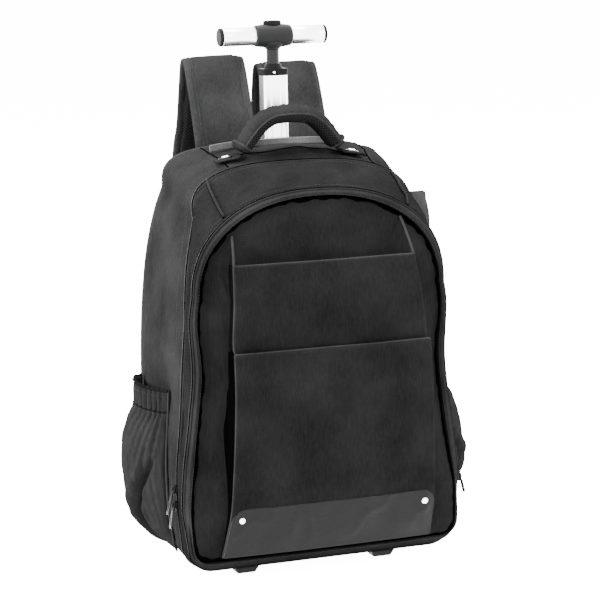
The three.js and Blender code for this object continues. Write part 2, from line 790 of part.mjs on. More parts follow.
function grabHandle() {
  const half = handleArch.map(({ reach, rise }) => ({
    place: point(reach * handleReach, handlePlane, lerp(handleEndRise, handleRise, rise)),
    across: point(0, 1, 0),
    half: handleWidth / 2,
    thickness: handleThickness,
  }));
  const mirrored = (stop) => ({ ...stop, place: stop.place.clone().multiply(point(-1, 1, 1)) });
  const arch = sweep([...half.slice(0, -1).map(mirrored), ...half.toReversed()], 0.33);
  place('grab_handle', cut(arch, body), 'cloth');

  for (const { side, sign } of sides) {
    const end = half[0].place;
    const slant = half[0].place.clone().sub(half[1].place).normalize();
    const start = end.clone().addScaledVector(slant, seamGap);
    const flatFrom = lerp(handleReach, anchorReach, anchorBend);
    const seat = (x) => point(x, handlePlane, roofAt(x, handlePlane) + seatGap + anchorThickness / 2);
    const bend = start.clone().addScaledVector(slant, anchorThickness);
    const webbing = sweep([start, bend, seat(flatFrom), seat(anchorReach)].map((p) => ({
      place: point(sign * p.x, p.y, p.z),
      across: point(0, 1, 0),
      half: anchorWidth / 2,
      thickness: anchorThickness,
    })), 0.2);
    place(`handle_anchor_${side}`, cut(webbing, body), 'tape');

    const bar = new THREE.CylinderGeometry(anchorBarDepth / 2, anchorBarDepth / 2, anchorBarWidth, 8);
    bar.rotateZ(Math.PI / 2);
    const mesh = place(`anchor_bar_${side}`, bar, 'chrome');
    const slope = (seat(anchorReach).z - seat(flatFrom).z) / (anchorReach - flatFrom);
    const lift = anchorThickness / 2 + anchorBarDepth / 2 + restGap;
    mesh.position.set(sign * anchorBarReach, handlePlane, seat(anchorBarReach).z + lift);
    mesh.rotation.y = -sign * Math.atan(slope);
  }
}

// The grey lip stands on the roof's ridge, in front of the pole's slot.
function topLip() {
  const columns = 10;
  const grid = (shift) => [0, 1].map((level) => {
    const row = [];
    for (let c = 0; c <= columns; c += 1) {
      const x = lerp(lipLeft, lipRight, c / columns);
      const y = -poleDepth / 2 - guideClearance - lipWall - shift;
      row.push(point(x, y, roofAt(x, y) + restGap + level * lipHeight));
    }
    return row;
  });
  place('top_lip', sheet(grid(lipWall), grid(0)), 'grey');
}

// The grey tab is a strip sewn edge on to the right gusset, wide at its top and running out downwards.
// level: share of the tab's height, spread: share of its reach.
const tabShape = [
  { level: 0, spread: 0.12 },
  { level: 0.35, spread: 0.5 },
  { level: 0.7, spread: 0.85 },
  { level: 0.97, spread: 1 },
  { level: 1, spread: 0.9 },
];

function sideTab() {
  const grid = (y) => tabShape.map(({ level, spread }) => {
    const z = tabTop - tabHeight * (1 - level);
    const root = gussetSideAt(y, z) + seatGap;
    return [point(root, y, z), point(root + tabReach * spread, y, z)];
  });
  place('side_tab', sheet(grid(tabPlane - tabWall), grid(tabPlane)), 'grey');
}

// Shoulder straps: up from the back panel, over in a loop and down again behind it.
// rise: height over the foot of the loop, as a share of the loop's height, or below it of the strap's length.
// slack: distance behind the back panel as a share of the largest, splay: shift outwards as a share of the
// spacing, width: share of the half width.
const strapShape = [
  { rise: -0.2, slack: 0, splay: 0, width: 1 },
  { rise: -0.04, slack: 0, splay: 0, width: 1 },
  { rise: 0.24, slack: 0.09, splay: 0, width: 1 },
  { rise: 0.6, slack: 0.24, splay: 0, width: 1 },
  { rise: 0.88, slack: 0.38, splay: 0, width: 1 },
  { rise: 0.98, slack: 0.475, splay: 0, width: 1 },
  { rise: 0.93, slack: 0.57, splay: 0, width: 1 },
  { rise: 0.6, slack: 0.66, splay: 0.01, width: 1 },
  { rise: 0.17, slack: 0.76, splay: 0.04, width: 1 },
  { rise: -0.14, slack: 0.89, splay: 0.12, width: 1 },
  { rise: -0.36, slack: 1, splay: 0.2, width: 0.98 },
  { rise: -0.58, slack: 0.97, splay: 0.26, width: 0.92 },
  { rise: -0.8, slack: 0.8, splay: 0.26, width: 0.8 },
  { rise: -0.98, slack: 0.48, splay: 0.24, width: 0.66 },
  { rise: -1.09, slack: 0.16, splay: 0.22, width: 0.5 },
  { rise: -1.15, slack: 0.02, splay: 0.2, width: 0.44 },
  { rise: -1.2, slack: 0, splay: 0.2, width: 0.42 },
];
const strapDrop = 6;
const strapFoot = bodyHeight - strapDrop;
const panelFace = backDepth + backPadding + seamGap;

function shoulderStrap(side, sign, share) {
  const stops = strapShape.map(({ rise, slack, splay, width }) => ({
    place: point(
      sign * strapSpacing * (1 + splay),
      panelFace + restGap + strapThickness / 2 + slack * strapSlack,
      strapFoot + rise * (rise > 0 ? strapLoopHeight * share : strapLength),
    ),
    across: point(1, 0, 0),
    half: strapHalfWidth * width,
    thickness: strapThickness,
  }));
  place(`shoulder_strap_${side}`, sweep(stops), 'cloth');
  strapTail(side, stops.at(-1));
}

// The tail below a strap: a slotted buckle under its end and the webbing from there down to the bag's foot.
function strapTail(side, end) {
  const top = end.place.z - restGap;
  const frame = new THREE.Shape([
    new THREE.Vector2(-buckleWidth / 2, -buckleHeight),
    new THREE.Vector2(buckleWidth / 2, -buckleHeight),
    new THREE.Vector2(buckleWidth / 2, 0),
    new THREE.Vector2(-buckleWidth / 2, 0),
  ]);
  const slotHeight = (buckleHeight - 3 * buckleBar) / 2;
  for (const level of [0, 1]) {
    const upper = -buckleBar - level * (slotHeight + buckleBar);
    frame.holes.push(new THREE.Path([
      new THREE.Vector2(-buckleWidth / 2 + buckleBar, upper),
      new THREE.Vector2(-buckleWidth / 2 + buckleBar, upper - slotHeight),
      new THREE.Vector2(buckleWidth / 2 - buckleBar, upper - slotHeight),
      new THREE.Vector2(buckleWidth / 2 - buckleBar, upper),
    ]));
  }
  const buckle = new THREE.ExtrudeGeometry(frame, { depth: buckleThickness, bevelEnabled: false });
  buckle.applyMatrix4(new THREE.Matrix4().makeBasis(point(1, 0, 0), point(0, 0, 1), point(0, -1, 0)));
  buckle.translate(end.place.x, panelFace + restGap + buckleThickness, top);
  place(`strap_buckle_${side}`, buckle, 'plastic');

  const webbingTop = top - buckleHeight - restGap;
  const flat = [webbingTop, lerp(webbingTop, webbingFoot, 0.5), webbingFoot].map((z) => ({
    place: point(end.place.x, panelFace + restGap + webbingThickness / 2, z),
    across: point(1, 0, 0),
    half: webbingWidth / 2,
    thickness: webbingThickness,
  }));
  place(`strap_webbing_${side}`, sweep(flat, 0.2), 'tape');
}

// Zip sliders: a small body on the tape and a pull that hangs from it.
// height is a share of the body's height. swing turns the pull along the bag's side and lift turns it away
// from the tape, both in degrees.
const leftZip = { loop: zipLoop, sign: -1, finish: 'plastic' };
const rightZip = { loop: zipLoop, sign: 1, finish: 'chrome' };
const innerZip = { loop: frontLoop, sign: 1, finish: 'plastic' };
const sliderSet = [
  { ...leftZip, name: 'slider_left_upper', height: 0.2275, pull: 26, swing: 18, lift: 20 },
  { ...leftZip, name: 'slider_left_lower', height: 0.189, pull: 24, swing: -3, lift: 8 },
  { ...rightZip, name: 'slider_right_upper', height: 0.793, pull: 17, swing: 0, lift: 14 },
  { ...rightZip, name: 'slider_right_lower', height: 0.748, pull: 17, swing: 4, lift: 14 },
  { ...innerZip, name: 'slider_front', height: 0.194, pull: 18, swing: -8, lift: 10 },
];

const pullEye = 0.4;

function zipSliders() {
  for (const { name, loop, sign, height, pull, swing, lift, finish } of sliderSet) {
    const z = height * bodyHeight;
    const seat = loopSideAt(loop, z);
    const up = loopSideAt(loop, z + sliderLength / 2).sub(loopSideAt(loop, z - sliderLength / 2)).normalize();
    const out = up.clone().cross(point(0, 1, 0)).negate().normalize();
    if (out.x < 0) out.negate();
    for (const vector of [seat, up, out]) vector.x *= sign;
    const [wide, long] = [sliderWidth / 2, sliderLength / 2];
    const shell = block(-wide, wide, 0, sliderHeight, -long, long);
    const [half, thick] = [pullWidth / 2, pullThickness / 2];
    const tab = block(-half, half, -thick, thick, -pull, long / 2);
    const eye = block(-half * pullEye, half * pullEye, -pullWidth, pullWidth, half - pull, -pull / 2);
    const hung = cut(tab, eye);
    hung.rotateY(radians(swing)).rotateX(radians(lift)).translate(0, sliderHeight, 0);
    const mesh = place(name, join(shell, hung), finish);
    const basis = new THREE.Matrix4().makeBasis(out.clone().cross(up).normalize(), out, up);
    mesh.quaternion.setFromRotationMatrix(basis);
    mesh.position.copy(seat).addScaledVector(out, zipTapeProud + restGap);
  }
}

// Trolley pole and its handle

function roundedRect(width, depth, radius) {
  const [x, y] = [width / 2, depth / 2];
  const shape = new THREE.Shape();
  shape.moveTo(x - radius, -y);
  shape.absarc(x - radius, -y + radius, radius, -Math.PI / 2, 0);
  shape.absarc(x - radius, y - radius, radius, 0, Math.PI / 2);
  shape.absarc(-x + radius, y - radius, radius, Math.PI / 2, Math.PI);
  shape.absarc(-x + radius, -y + radius, radius, Math.PI, Math.PI * 1.5);
  return shape;
}

function prism(shape, from, to, curveSegments = 3) {
  const solid = new THREE.ExtrudeGeometry(shape, { depth: to - from, bevelEnabled: false, curveSegments });
  return solid.translate(0, 0, from);
}

// A turned wall: rows of radius and height whose outline closes on itself or ends on the axis.
function turned(rows, segments = 14) {
  return new THREE.LatheGeometry(rows.map(([radius, height]) => new THREE.Vector2(radius, height)), segments);
}

function upright(geometry) {
  return geometry.rotateX(Math.PI / 2);
}

function alongX(geometry) {
  return geometry.rotateZ(-Math.PI / 2);
}

// An upright body through rings of ellipses: half width, half depth and height of each.
function ovalBody(levels, segments = 16) {
  return skin(levels.map(([halfWidth, halfDepth, z]) => {
    const ring = [];
    for (let i = 0; i < segments; i += 1) {
      const angle = (2 * Math.PI * i) / segments;
      ring.push(point(halfWidth * Math.cos(angle), halfDepth * Math.sin(angle), z));
    }
    return ring;
  }));
}

const neckBore = neckRadius + slideGap;
const poleFoot = poleTop - poleLength;
const guideInner = { width: poleWidth + guideClearance * 2, depth: poleDepth + guideClearance * 2 };

function trolleyPole() {
  const guideOuter = { width: guideInner.width + guideWall * 2, depth: guideInner.depth + guideWall * 2 };
  const guideFoot = floorGap + gussetWall + seamGap;
  const guideTop = Math.min(roofAt(poleWidth / 2, -guideOuter.depth / 2), backLoop[backLoop.length / 2].z)
    - gussetWall - restGap;
  const guide = roundedRect(guideOuter.width, guideOuter.depth, poleCorner + guideWall);
  guide.holes.push(roundedRect(guideInner.width, guideInner.depth, poleCorner));
  place('guide_tube', prism(guide, guideFoot, guideTop), 'plastic');

  const section = roundedRect(poleWidth, poleDepth, poleCorner);
  section.holes.push(roundedRect(poleWidth - 2 * poleWall, poleDepth - 2 * poleWall, poleCorner - poleWall));
  const flutes = [-1, 1].flatMap((face) => [-1, 1].map((hand) => {
    const [x, y] = [(hand * poleWidth) / 5, (face * poleDepth) / 2];
    const flute = fluteDepth;
    return block(x - flute, x + flute, y - flute, y + flute, poleFoot - 1, poleTop + 1);
  }));
  place('pole_tube', cut(prism(section, poleFoot, poleTop), ...flutes), 'aluminium');

  const plugWidth = poleWidth - 2 * (poleWall + slideGap);
  const plugDepth = poleDepth - 2 * (poleWall + slideGap);
  const seat = poleTop + seamGap;
  const plugShape = roundedRect(plugWidth, plugDepth, plugCorner);
  const plug = prism(plugShape, seat - plugLength, seat + collarPlate / 2);
  const plate = prism(roundedRect(poleWidth, poleDepth, poleCorner), seat, seat + collarPlate);
  const ringTop = collarRadius - collarTaper;
  const ring = upright(new THREE.CylinderGeometry(ringTop, collarRadius, collarHeight, 16));
  ring.translate(0, 0, seat + collarPlate / 2 + collarHeight / 2);
  const boreLength = 2 * (plugLength + collarPlate + collarHeight);
  const bore = upright(new THREE.CylinderGeometry(neckBore, neckBore, boreLength, 14)).translate(0, 0, seat);
  place('pole_collar', cut(join(plate, plug, ring), bore), 'plastic');
}

// The hub's funnel. reach: share of the hub's half width, depth: share of its radius,
// rise: share of the way from the neck's top to the grips' axis.
const funnelShape = [
  { reach: 0.365, depth: 0.593, rise: 0 },
  { reach: 0.45, depth: 0.65, rise: 0.13 },
  { reach: 0.65, depth: 0.772, rise: 0.28 },
  { reach: 0.85, depth: 0.845, rise: 0.49 },
  { reach: 0.85, depth: 0.845, rise: 0.79 },
];

// The button's dome. spread: share of the button's half width and depth, drop: share of its crown.
const domeShape = [{ spread: 1, drop: 1 }, { spread: 0.87, drop: 0.35 }, { spread: 0.45, drop: 0 }];

function trolleyHandle() {
  const neckFoot = neckTop - neckLength;
  const neck = turned([
    [neckRadius - neckWall, neckFoot], [neckRadius, neckFoot], [neckRadius, neckTop],
    [neckRadius - neckWall, neckTop], [neckRadius - neckWall, neckFoot],
  ]);
  place('neck_tube', upright(neck), 'plastic');

  const [end, mid] = [hubWidth / 2, hubWidth / 4];
  const barrel = alongX(turned([
    [0, -end], [hubEndRadius, -end], [hubRadius, -mid], [hubRadius, mid], [hubEndRadius, end], [0, end],
  ], 18)).translate(0, 0, gripAxis);
  const funnelFoot = neckTop + seamGap;
  const funnel = ovalBody(funnelShape.map(({ reach, depth, rise }) => [
    reach * hubWidth / 2, depth * hubRadius, lerp(funnelFoot, gripAxis, rise),
  ]));
  const buttonTop = gripAxis + hubRadius + buttonProud;
  const buttonFoot = buttonTop - buttonProud - buttonSunk;
  const pocketFloor = buttonFoot - buttonTravel - slideGap;
  const [halfWidth, halfDepth] = [buttonWidth / 2, buttonDepth / 2];
  const pocket = ovalBody([
    [halfWidth + slideGap, halfDepth + slideGap, pocketFloor],
    [halfWidth + slideGap, halfDepth + slideGap, buttonTop + buttonProud],
  ]);
  place('hub', cut(join(barrel, funnel), pocket), 'plastic');
  const dome = domeShape.map(({ spread, drop }) => [
    halfWidth * spread, halfDepth * spread, buttonTop - buttonCrown * drop,
  ]);
  place('push_button', ovalBody([[halfWidth, halfDepth, buttonFoot], ...dome]), 'plastic');

  for (const { side, sign } of sides) {
    const inner = hubWidth / 2 + seamGap;
    const outer = gripSpan / 2 - gripCapLength - seamGap;
    const bore = gripRadius - gripWall;
    const tube = turned([
      [bore, inner], [gripRadius, inner], [gripRadius, outer], [bore, outer], [bore, inner],
    ], 18);
    place(`grip_${side}`, alongX(tube).translate(0, 0, gripAxis), 'aluminium');
    const cap = turned([
      [0, outer + seamGap], [gripRadius, outer + seamGap], [gripRadius, gripSpan / 2 - gripCapEdge],
      [gripRadius - gripCapEdge, gripSpan / 2], [0, gripSpan / 2],
    ], 18);
    place(`grip_cap_${side}`, alongX(cap).translate(0, 0, gripAxis), 'plastic');
    for (const name of [`grip_${side}`, `grip_cap_${side}`]) {
      if (sign < 0) bag.getObjectByName(name).rotation.z = Math.PI;
    }
  }
}

// Wheels in their housings, the base plate and its feet

function wheelSet() {
  for (const { side, sign } of sides) {
    const { ends } = housingBlock(sign, 0);
    const profile = new THREE.Shape([
      [housingFront, housingFoot], [housingBack - housingHeel, housingFoot],
      [housingBack, housingFoot + housingHeel], [housingBack, housingTop - housingChamfer],
      [housingBack - housingChamfer, housingTop], [housingFront + housingChamfer, housingTop],
      [housingFront, housingTop - housingChamfer],
    ].map(([y, z]) => new THREE.Vector2(y, z)));
    const housing = new THREE.ExtrudeGeometry(profile, { depth: ends[1] - ends[0], bevelEnabled: false });
    housing.applyMatrix4(new THREE.Matrix4().makeBasis(point(0, 1, 0), point(0, 0, 1), point(1, 0, 0)));
    housing.translate(ends[0], 0, 0);
    const lying = (radius, length, segments) => {
      const rod = alongX(new THREE.CylinderGeometry(radius, radius, length, segments));
      return rod.translate(sign * wheelTrack, wheelPlane, wheelRadius);
    };
    const well = lying(wheelRadius + wheelWellGap, wheelWidth + 2 * wheelSideGap, 24);
    const axleHole = lying(axleRadius + axleGap, 2 * wheelTrack, 12);
    place(`wheel_housing_${side}`, cut(housing, well, axleHole), 'plastic');
    place(`axle_${side}`, lying(axleRadius, ends[1] - ends[0] - seatGap, 12), 'chrome');

    const half = wheelWidth / 2;
    const bead = wheelRadius - tyreThickness;
    const flank = half - tyreInset;
    const shoulder = wheelRadius - tyreShoulder;
    const tyre = turned([
      [bead, -flank], [shoulder, -half], [wheelRadius, tyreShoulder - half],
      [wheelRadius, half - tyreShoulder], [shoulder, half], [bead, flank], [bead, -flank],
    ], 24);
    const rim = bead - seamGap;
    const bore = axleRadius + axleGap;
    const [boss, web, lip] = [bore + bossWall, half - webInset, rim - bossWall];
    const core = turned([
      [bore, -flank], [boss, -flank], [boss + tyreInset, -web], [lip, -web], [rim, -flank],
      [rim, flank], [lip, web], [boss + tyreInset, web], [boss, flank], [bore, flank], [bore, -flank],
    ], 18);
    for (const [name, solid, finish] of [['tyre', tyre, 'rubber'], ['wheel_hub', core, 'plastic']]) {
      const mesh = place(`${name}_${side}`, alongX(solid), finish);
      mesh.position.set(sign * wheelTrack, wheelPlane, wheelRadius);
    }
  }
}

function basePlate() {
  const inside = wheelTrack - wheelWidth / 2 - wheelSideGap - housingWall - seamGap;
  const wide = footTrack + footWidth / 2 + basePlateMargin;
  const plateTop = floorGap - restGap;
  const shoulder = housingFront - seamGap;
  const plate = new THREE.Shape([
    [-wide, basePlateFront], [wide, basePlateFront], [wide, shoulder], [inside, shoulder],
    [inside, backDepth], [-inside, backDepth], [-inside, shoulder], [-wide, shoulder],
  ].map(([x, y]) => new THREE.Vector2(x, y)));
  place('base_plate', prism(plate, plateTop - basePlateThickness, plateTop), 'plastic');

  const footTop = plateTop - basePlateThickness - seamGap;
  for (const { side, sign } of sides) {
    const ring = (z, trim) => [[-1, -1], [1, -1], [1, 1], [-1, 1]].map(([x, y]) => point(
      sign * footTrack + x * (footWidth / 2 - trim),
      footPlane + y * (footDepth / 2 - trim),
      z,
    ));
    place(`foot_${side}`, skin([ring(0, footTaper), ring(footTop * 0.7, 0), ring(footTop, 0)]), 'rubber');
  }
}

mainCompartment();
frontCompartment();
frontFace();
facePockets();
leatherGuard();
for (const { side, sign } of sides) {
  sidePocket(side, sign);
  shoulderStrap(side, sign, sign > 0 ? rightStrapShare : 1);
}
grabHandle();
topLip();
sideTab();
zipSliders();
trolleyPole();
trolleyHandle();
wheelSet();
basePlate();

// The middle of the bag's depth, from the lower pocket's front to the straps' back, goes to Y = 0.
const frontReach = Math.max(...lowerPocketShape.map((row) => row.depth)) * bodyDepth + pocketSwell;
const backReach = panelFace + restGap + strapThickness + strapSlack;
bag.position.y = (frontReach - backReach) / 2;

export default bag;
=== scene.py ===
"""A wheeled backpack: its cloth, straps, zips, trolley pole, wheels and their finishes, in metres.

+X is the bag's right as its face is looked at, +Y runs from the face to the straps and +Z is up.
"""

import json
import logging
import math
from dataclasses import dataclass, field
from enum import Enum

import bmesh
import bpy
import numpy as np
from mathutils import Matrix, Vector, noise
from mathutils.kdtree import KDTree

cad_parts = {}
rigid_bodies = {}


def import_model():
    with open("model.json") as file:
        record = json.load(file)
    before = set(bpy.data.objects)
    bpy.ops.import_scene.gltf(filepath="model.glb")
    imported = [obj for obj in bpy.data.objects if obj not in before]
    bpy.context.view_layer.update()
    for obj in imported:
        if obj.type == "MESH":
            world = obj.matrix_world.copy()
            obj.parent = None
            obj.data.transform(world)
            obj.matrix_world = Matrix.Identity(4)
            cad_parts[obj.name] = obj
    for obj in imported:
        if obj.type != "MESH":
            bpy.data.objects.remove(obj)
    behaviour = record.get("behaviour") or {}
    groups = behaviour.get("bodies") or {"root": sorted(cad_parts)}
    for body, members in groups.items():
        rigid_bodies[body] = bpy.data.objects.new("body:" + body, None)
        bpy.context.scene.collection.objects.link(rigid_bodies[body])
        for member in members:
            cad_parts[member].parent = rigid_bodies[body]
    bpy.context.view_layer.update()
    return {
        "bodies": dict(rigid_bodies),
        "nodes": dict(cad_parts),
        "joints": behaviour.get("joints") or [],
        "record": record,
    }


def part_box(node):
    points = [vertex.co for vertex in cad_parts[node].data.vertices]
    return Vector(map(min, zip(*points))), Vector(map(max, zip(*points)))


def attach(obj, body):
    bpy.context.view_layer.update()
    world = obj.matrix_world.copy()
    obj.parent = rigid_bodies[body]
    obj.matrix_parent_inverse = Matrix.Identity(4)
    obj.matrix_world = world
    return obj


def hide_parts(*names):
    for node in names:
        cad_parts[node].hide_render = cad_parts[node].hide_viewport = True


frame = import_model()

logging.basicConfig(level=logging.INFO, format="%(message)s")
LOG = logging.getLogger("backpack")
MM = 0.001
FRONT = np.array([0.0, -1.0, 0.0])
UP = np.array([0.0, 0.0, 1.0])
RIGHT = np.array([1.0, 0.0, 0.0])


# Numbers and points


class Table:
    """Rows of numbers with named columns, read as a smooth curve over the first column."""

    def __init__(self, names: str, rows: list[tuple[float, ...]]) -> None:
        """Keeps the rows.

        Args:
            names: the columns' names, with spaces between them.
            rows: one tuple for each row, in the order of the first column.
        """
        self.names = names.split()
        self.data = np.array(rows, float)

    def at(self, key: np.ndarray | float, column: str) -> np.ndarray:
        """A column's value at a key, on a curve that doesn't overshoot its rows.

        Args:
            key: one value of the first column, or many.
            column: the column to read.

        Returns:
            The value or values.
        """
        x, y = self.data[:, 0], self.data[:, self.names.index(column)]
        slope = np.diff(y) / np.diff(x)
        tangent = np.concatenate([slope[:1], (slope[:-1] + slope[1:]) / 2, slope[-1:]])
        tangent[1:-1][slope[:-1] * slope[1:] <= 0] = 0
        key = np.clip(key, x[0], x[-1])
        i = np.clip(np.searchsorted(x, key) - 1, 0, len(x) - 2)
        step = x[i + 1] - x[i]
        t = (key - x[i]) / step
        near = (1 + 2 * t) * (1 - t) ** 2 * y[i] + t * (1 - t) ** 2 * step * tangent[i]
        far = t * t * (3 - 2 * t) * y[i + 1] + t * t * (t - 1) * step * tangent[i + 1]
        return near + far


def unit(v: np.ndarray) -> np.ndarray:
    """Vectors of length one in the same directions."""
    return v / np.maximum(np.linalg.norm(v, axis=-1, keepdims=True), 1e-12)


def lerp(a: np.ndarray | float, b: np.ndarray | float, share: np.ndarray | float) -> np.ndarray | float:
    """The value a share of the way from a to b."""
    return a + (b - a) * share


def smooth(x: np.ndarray | float, low: float, high: float) -> np.ndarray:
    """Zero below low, one above high and a smooth step between."""
    t = np.clip((np.asarray(x) - low) / (high - low), 0, 1)
    return t * t * (3 - 2 * t)


def bump(x: np.ndarray | float, middle: float, width: float) -> np.ndarray:
    """A bell of height one round the middle."""
    return np.exp(-(((np.asarray(x) - middle) / width) ** 2))


def ripple(points: np.ndarray, size: float, seed: float,
           stretch: tuple[float, float, float] = (1, 1, 1)) -> np.ndarray:
    """Smooth noise from -1 to 1 at each point.

    Args:
        points: places, in any array whose last axis is X, Y and Z.
        size: the length of a fold.
        seed: a number that picks the pattern.
        stretch: how much longer the folds are along each axis.

    Returns:
        One number for each point.
    """
    scaled = points.reshape(-1, 3) / (size * np.array(stretch)) + seed * 7.31
    values = [noise.noise(Vector(p)) + 0.4 * noise.noise(Vector(p * 2.17)) for p in scaled]
    return np.array(values).reshape(points.shape[:-1])


def creases(points: np.ndarray, size: float, seed: float,
            stretch: tuple[float, float, float] = (1, 1, 1)) -> np.ndarray:
    """Sharp folds: one on the crest of a crease and falling to zero away from it."""
    return np.clip(1 - np.abs(ripple(points, size, seed, stretch)) * 5, 0, 1) ** 2


def grid_normals(points: np.ndarray, wrap: bool = False) -> np.ndarray:
    """Normals of a grid of points, right-handed over its rows and columns."""
    down = np.gradient(points, axis=0)
    if wrap:
        along = (np.roll(points, -1, axis=1) - np.roll(points, 1, axis=1)) / 2
    else:
        along = np.gradient(points, axis=1)
    return unit(np.cross(along, down))


# Meshes


def make_mesh(name: str, verts: np.ndarray, faces: list, uv: np.ndarray | None = None) -> bpy.types.Object:
    """A smooth-shaded mesh object at the origin.

    Args:
        name: the piece's name.
        verts: places, one row each.
        faces: lists of vertex numbers.
        uv: a place on the cloth, in metres, for each vertex.

    Returns:
        The object, linked to the scene.
    """
    mesh = bpy.data.meshes.new(name)
    mesh.from_pydata([tuple(v) for v in verts.reshape(-1, 3)], [], [tuple(f) for f in faces])
    mesh.polygons.foreach_set("use_smooth", [True] * len(mesh.polygons))
    if uv is not None:
        layer = mesh.uv_layers.new(name="cloth")
        corner = np.zeros(len(mesh.loops), int)
        mesh.loops.foreach_get("vertex_index", corner)
        layer.data.foreach_set("uv", uv.reshape(-1, 2)[corner].astype(np.float32).ravel())
    mesh.validate()
    obj = bpy.data.objects.new(name, mesh)
    bpy.context.scene.collection.objects.link(obj)
    return obj


def cloth_uv(points: np.ndarray) -> np.ndarray:
    """Places on the cloth, in metres, from the lengths along a grid's rows and columns."""
    along = np.linalg.norm(np.diff(points, axis=1), axis=-1).mean(0)
    down = np.linalg.norm(np.diff(points, axis=0), axis=-1).mean(1)
    u = np.concatenate([[0], np.cumsum(along)])
    v = np.concatenate([[0], np.cumsum(down)])
    return np.stack(np.meshgrid(u, v), axis=-1)


def grid_faces(rows: int, columns: int, wrap: bool = False, start: int = 0) -> list:
    """Quads of a grid of vertices, wrapped round along its rows or not."""
    faces = []
    for r in range(rows - 1):
        for c in range(columns if wrap else columns - 1):
            d = (c + 1) % columns
            a = start + r * columns
            b = a + columns
            faces.append((a + c, a + d, b + d, b + c))
    return faces


def panel(name: str, points: np.ndarray, wrap: bool = False, flip: bool = False) -> bpy.types.Object:
    """An open sheet through a grid of points.

    Args:
        name: the piece's name.
        points: rows by columns by three.
        wrap: whether each row closes on itself.
        flip: whether the faces turn the other way.

    Returns:
        The object.
    """
    rows, columns = points.shape[:2]
    faces = grid_faces(rows, columns, wrap)
    if flip:
        faces = [f[::-1] for f in faces]
    return make_mesh(name, points, faces, cloth_uv(points))


def closed_rings(name: str, rings: np.ndarray) -> bpy.types.Object:
    """A closed body through rings of points, each joined to the next, with a fan over each end."""
    rows, columns = rings.shape[:2]
    faces = grid_faces(rows, columns, wrap=True)
    ends = [rings[0].mean(0), rings[-1].mean(0)]
    first, last = rows * columns, rows * columns + 1
    for c in range(columns):
        d = (c + 1) % columns
        faces.append((first, d, c))
        faces.append((last, (rows - 1) * columns + c, (rows - 1) * columns + d))
    uv = cloth_uv(rings).reshape(-1, 2)
    uv = np.concatenate([uv, uv[:1], uv[-1:]])
    return outward(make_mesh(name, np.concatenate([rings.reshape(-1, 3), ends]), faces, uv))


def outward(obj: bpy.types.Object) -> bpy.types.Object:
    """Turns a closed mesh's faces outwards."""
    mesh = bmesh.new()
    mesh.from_mesh(obj.data)
    if mesh.calc_volume(signed=True) < 0:
        bmesh.ops.reverse_faces(mesh, faces=mesh.faces)
    mesh.to_mesh(obj.data)
    mesh.free()
    return obj


def frames_along(path: np.ndarray, start: np.ndarray, closed: bool = False) -> tuple[np.ndarray, np.ndarray,
                                                                                     np.ndarray]:
    """Directions along a path: forwards, across and out, turned as little as may be from place to place."""
    if closed:
        ahead = unit(np.roll(path, -1, axis=0) - np.roll(path, 1, axis=0))
    else:
        ahead = unit(np.gradient(path, axis=0))
    out = [unit(start - ahead[0] * (start @ ahead[0]))]
    for tangent in ahead[1:]:
        kept = out[-1] - tangent * (out[-1] @ tangent)
        out.append(unit(kept))
    out = np.array(out)
    return ahead, np.cross(ahead, out), out


def tube(name: str, path: np.ndarray, radius: float | np.ndarray, sides: int = 10, closed: bool = False,
         start: np.ndarray = UP, outs: np.ndarray | None = None) -> bpy.types.Object:
    """A round cord along a path, closed on itself or with rounded ends.

    Args:
        name: the piece's name.
        path: its middle line.
        radius: one radius, or one for each place.
        sides: points round it.
        closed: whether the path meets its own start.
        start: a direction across the path's start, where outs isn't given.
        outs: a direction across the path at each place.

    Returns:
        The object.
    """
    radius = np.broadcast_to(np.asarray(radius, float), (len(path),)).copy()
    if not closed:
        ahead = unit(np.gradient(path, axis=0))
        path = np.concatenate([[path[0] - ahead[0] * radius[0] * 0.5], path,
                               [path[-1] + ahead[-1] * radius[-1] * 0.5]])
        radius = np.concatenate([[radius[0] * 0.5], radius, [radius[-1] * 0.5]])
        outs = None if outs is None else np.concatenate([outs[:1], outs, outs[-1:]])
    if outs is None:
        _, across, out = frames_along(path, start, closed)
    else:
        ahead = np.roll(path, -1, axis=0) - np.roll(path, 1, axis=0) if closed else np.gradient(path, axis=0)
        across = unit(np.cross(unit(ahead), outs))
        out = np.cross(across, unit(ahead))
    angle = np.arange(sides) * 2 * math.pi / sides
    rings = path[:, None] + radius[:, None, None] * (
        across[:, None] * np.cos(angle)[:, None] + out[:, None] * np.sin(angle)[:, None])
    if not closed:
        return closed_rings(name, rings)
    rows = len(rings)
    faces = grid_faces(rows, sides, wrap=True)
    for c in range(sides):
        d = (c + 1) % sides
        faces.append(((rows - 1) * sides + c, (rows - 1) * sides + d, d, c))
    return outward(make_mesh(name, rings, faces, cloth_uv(rings)))


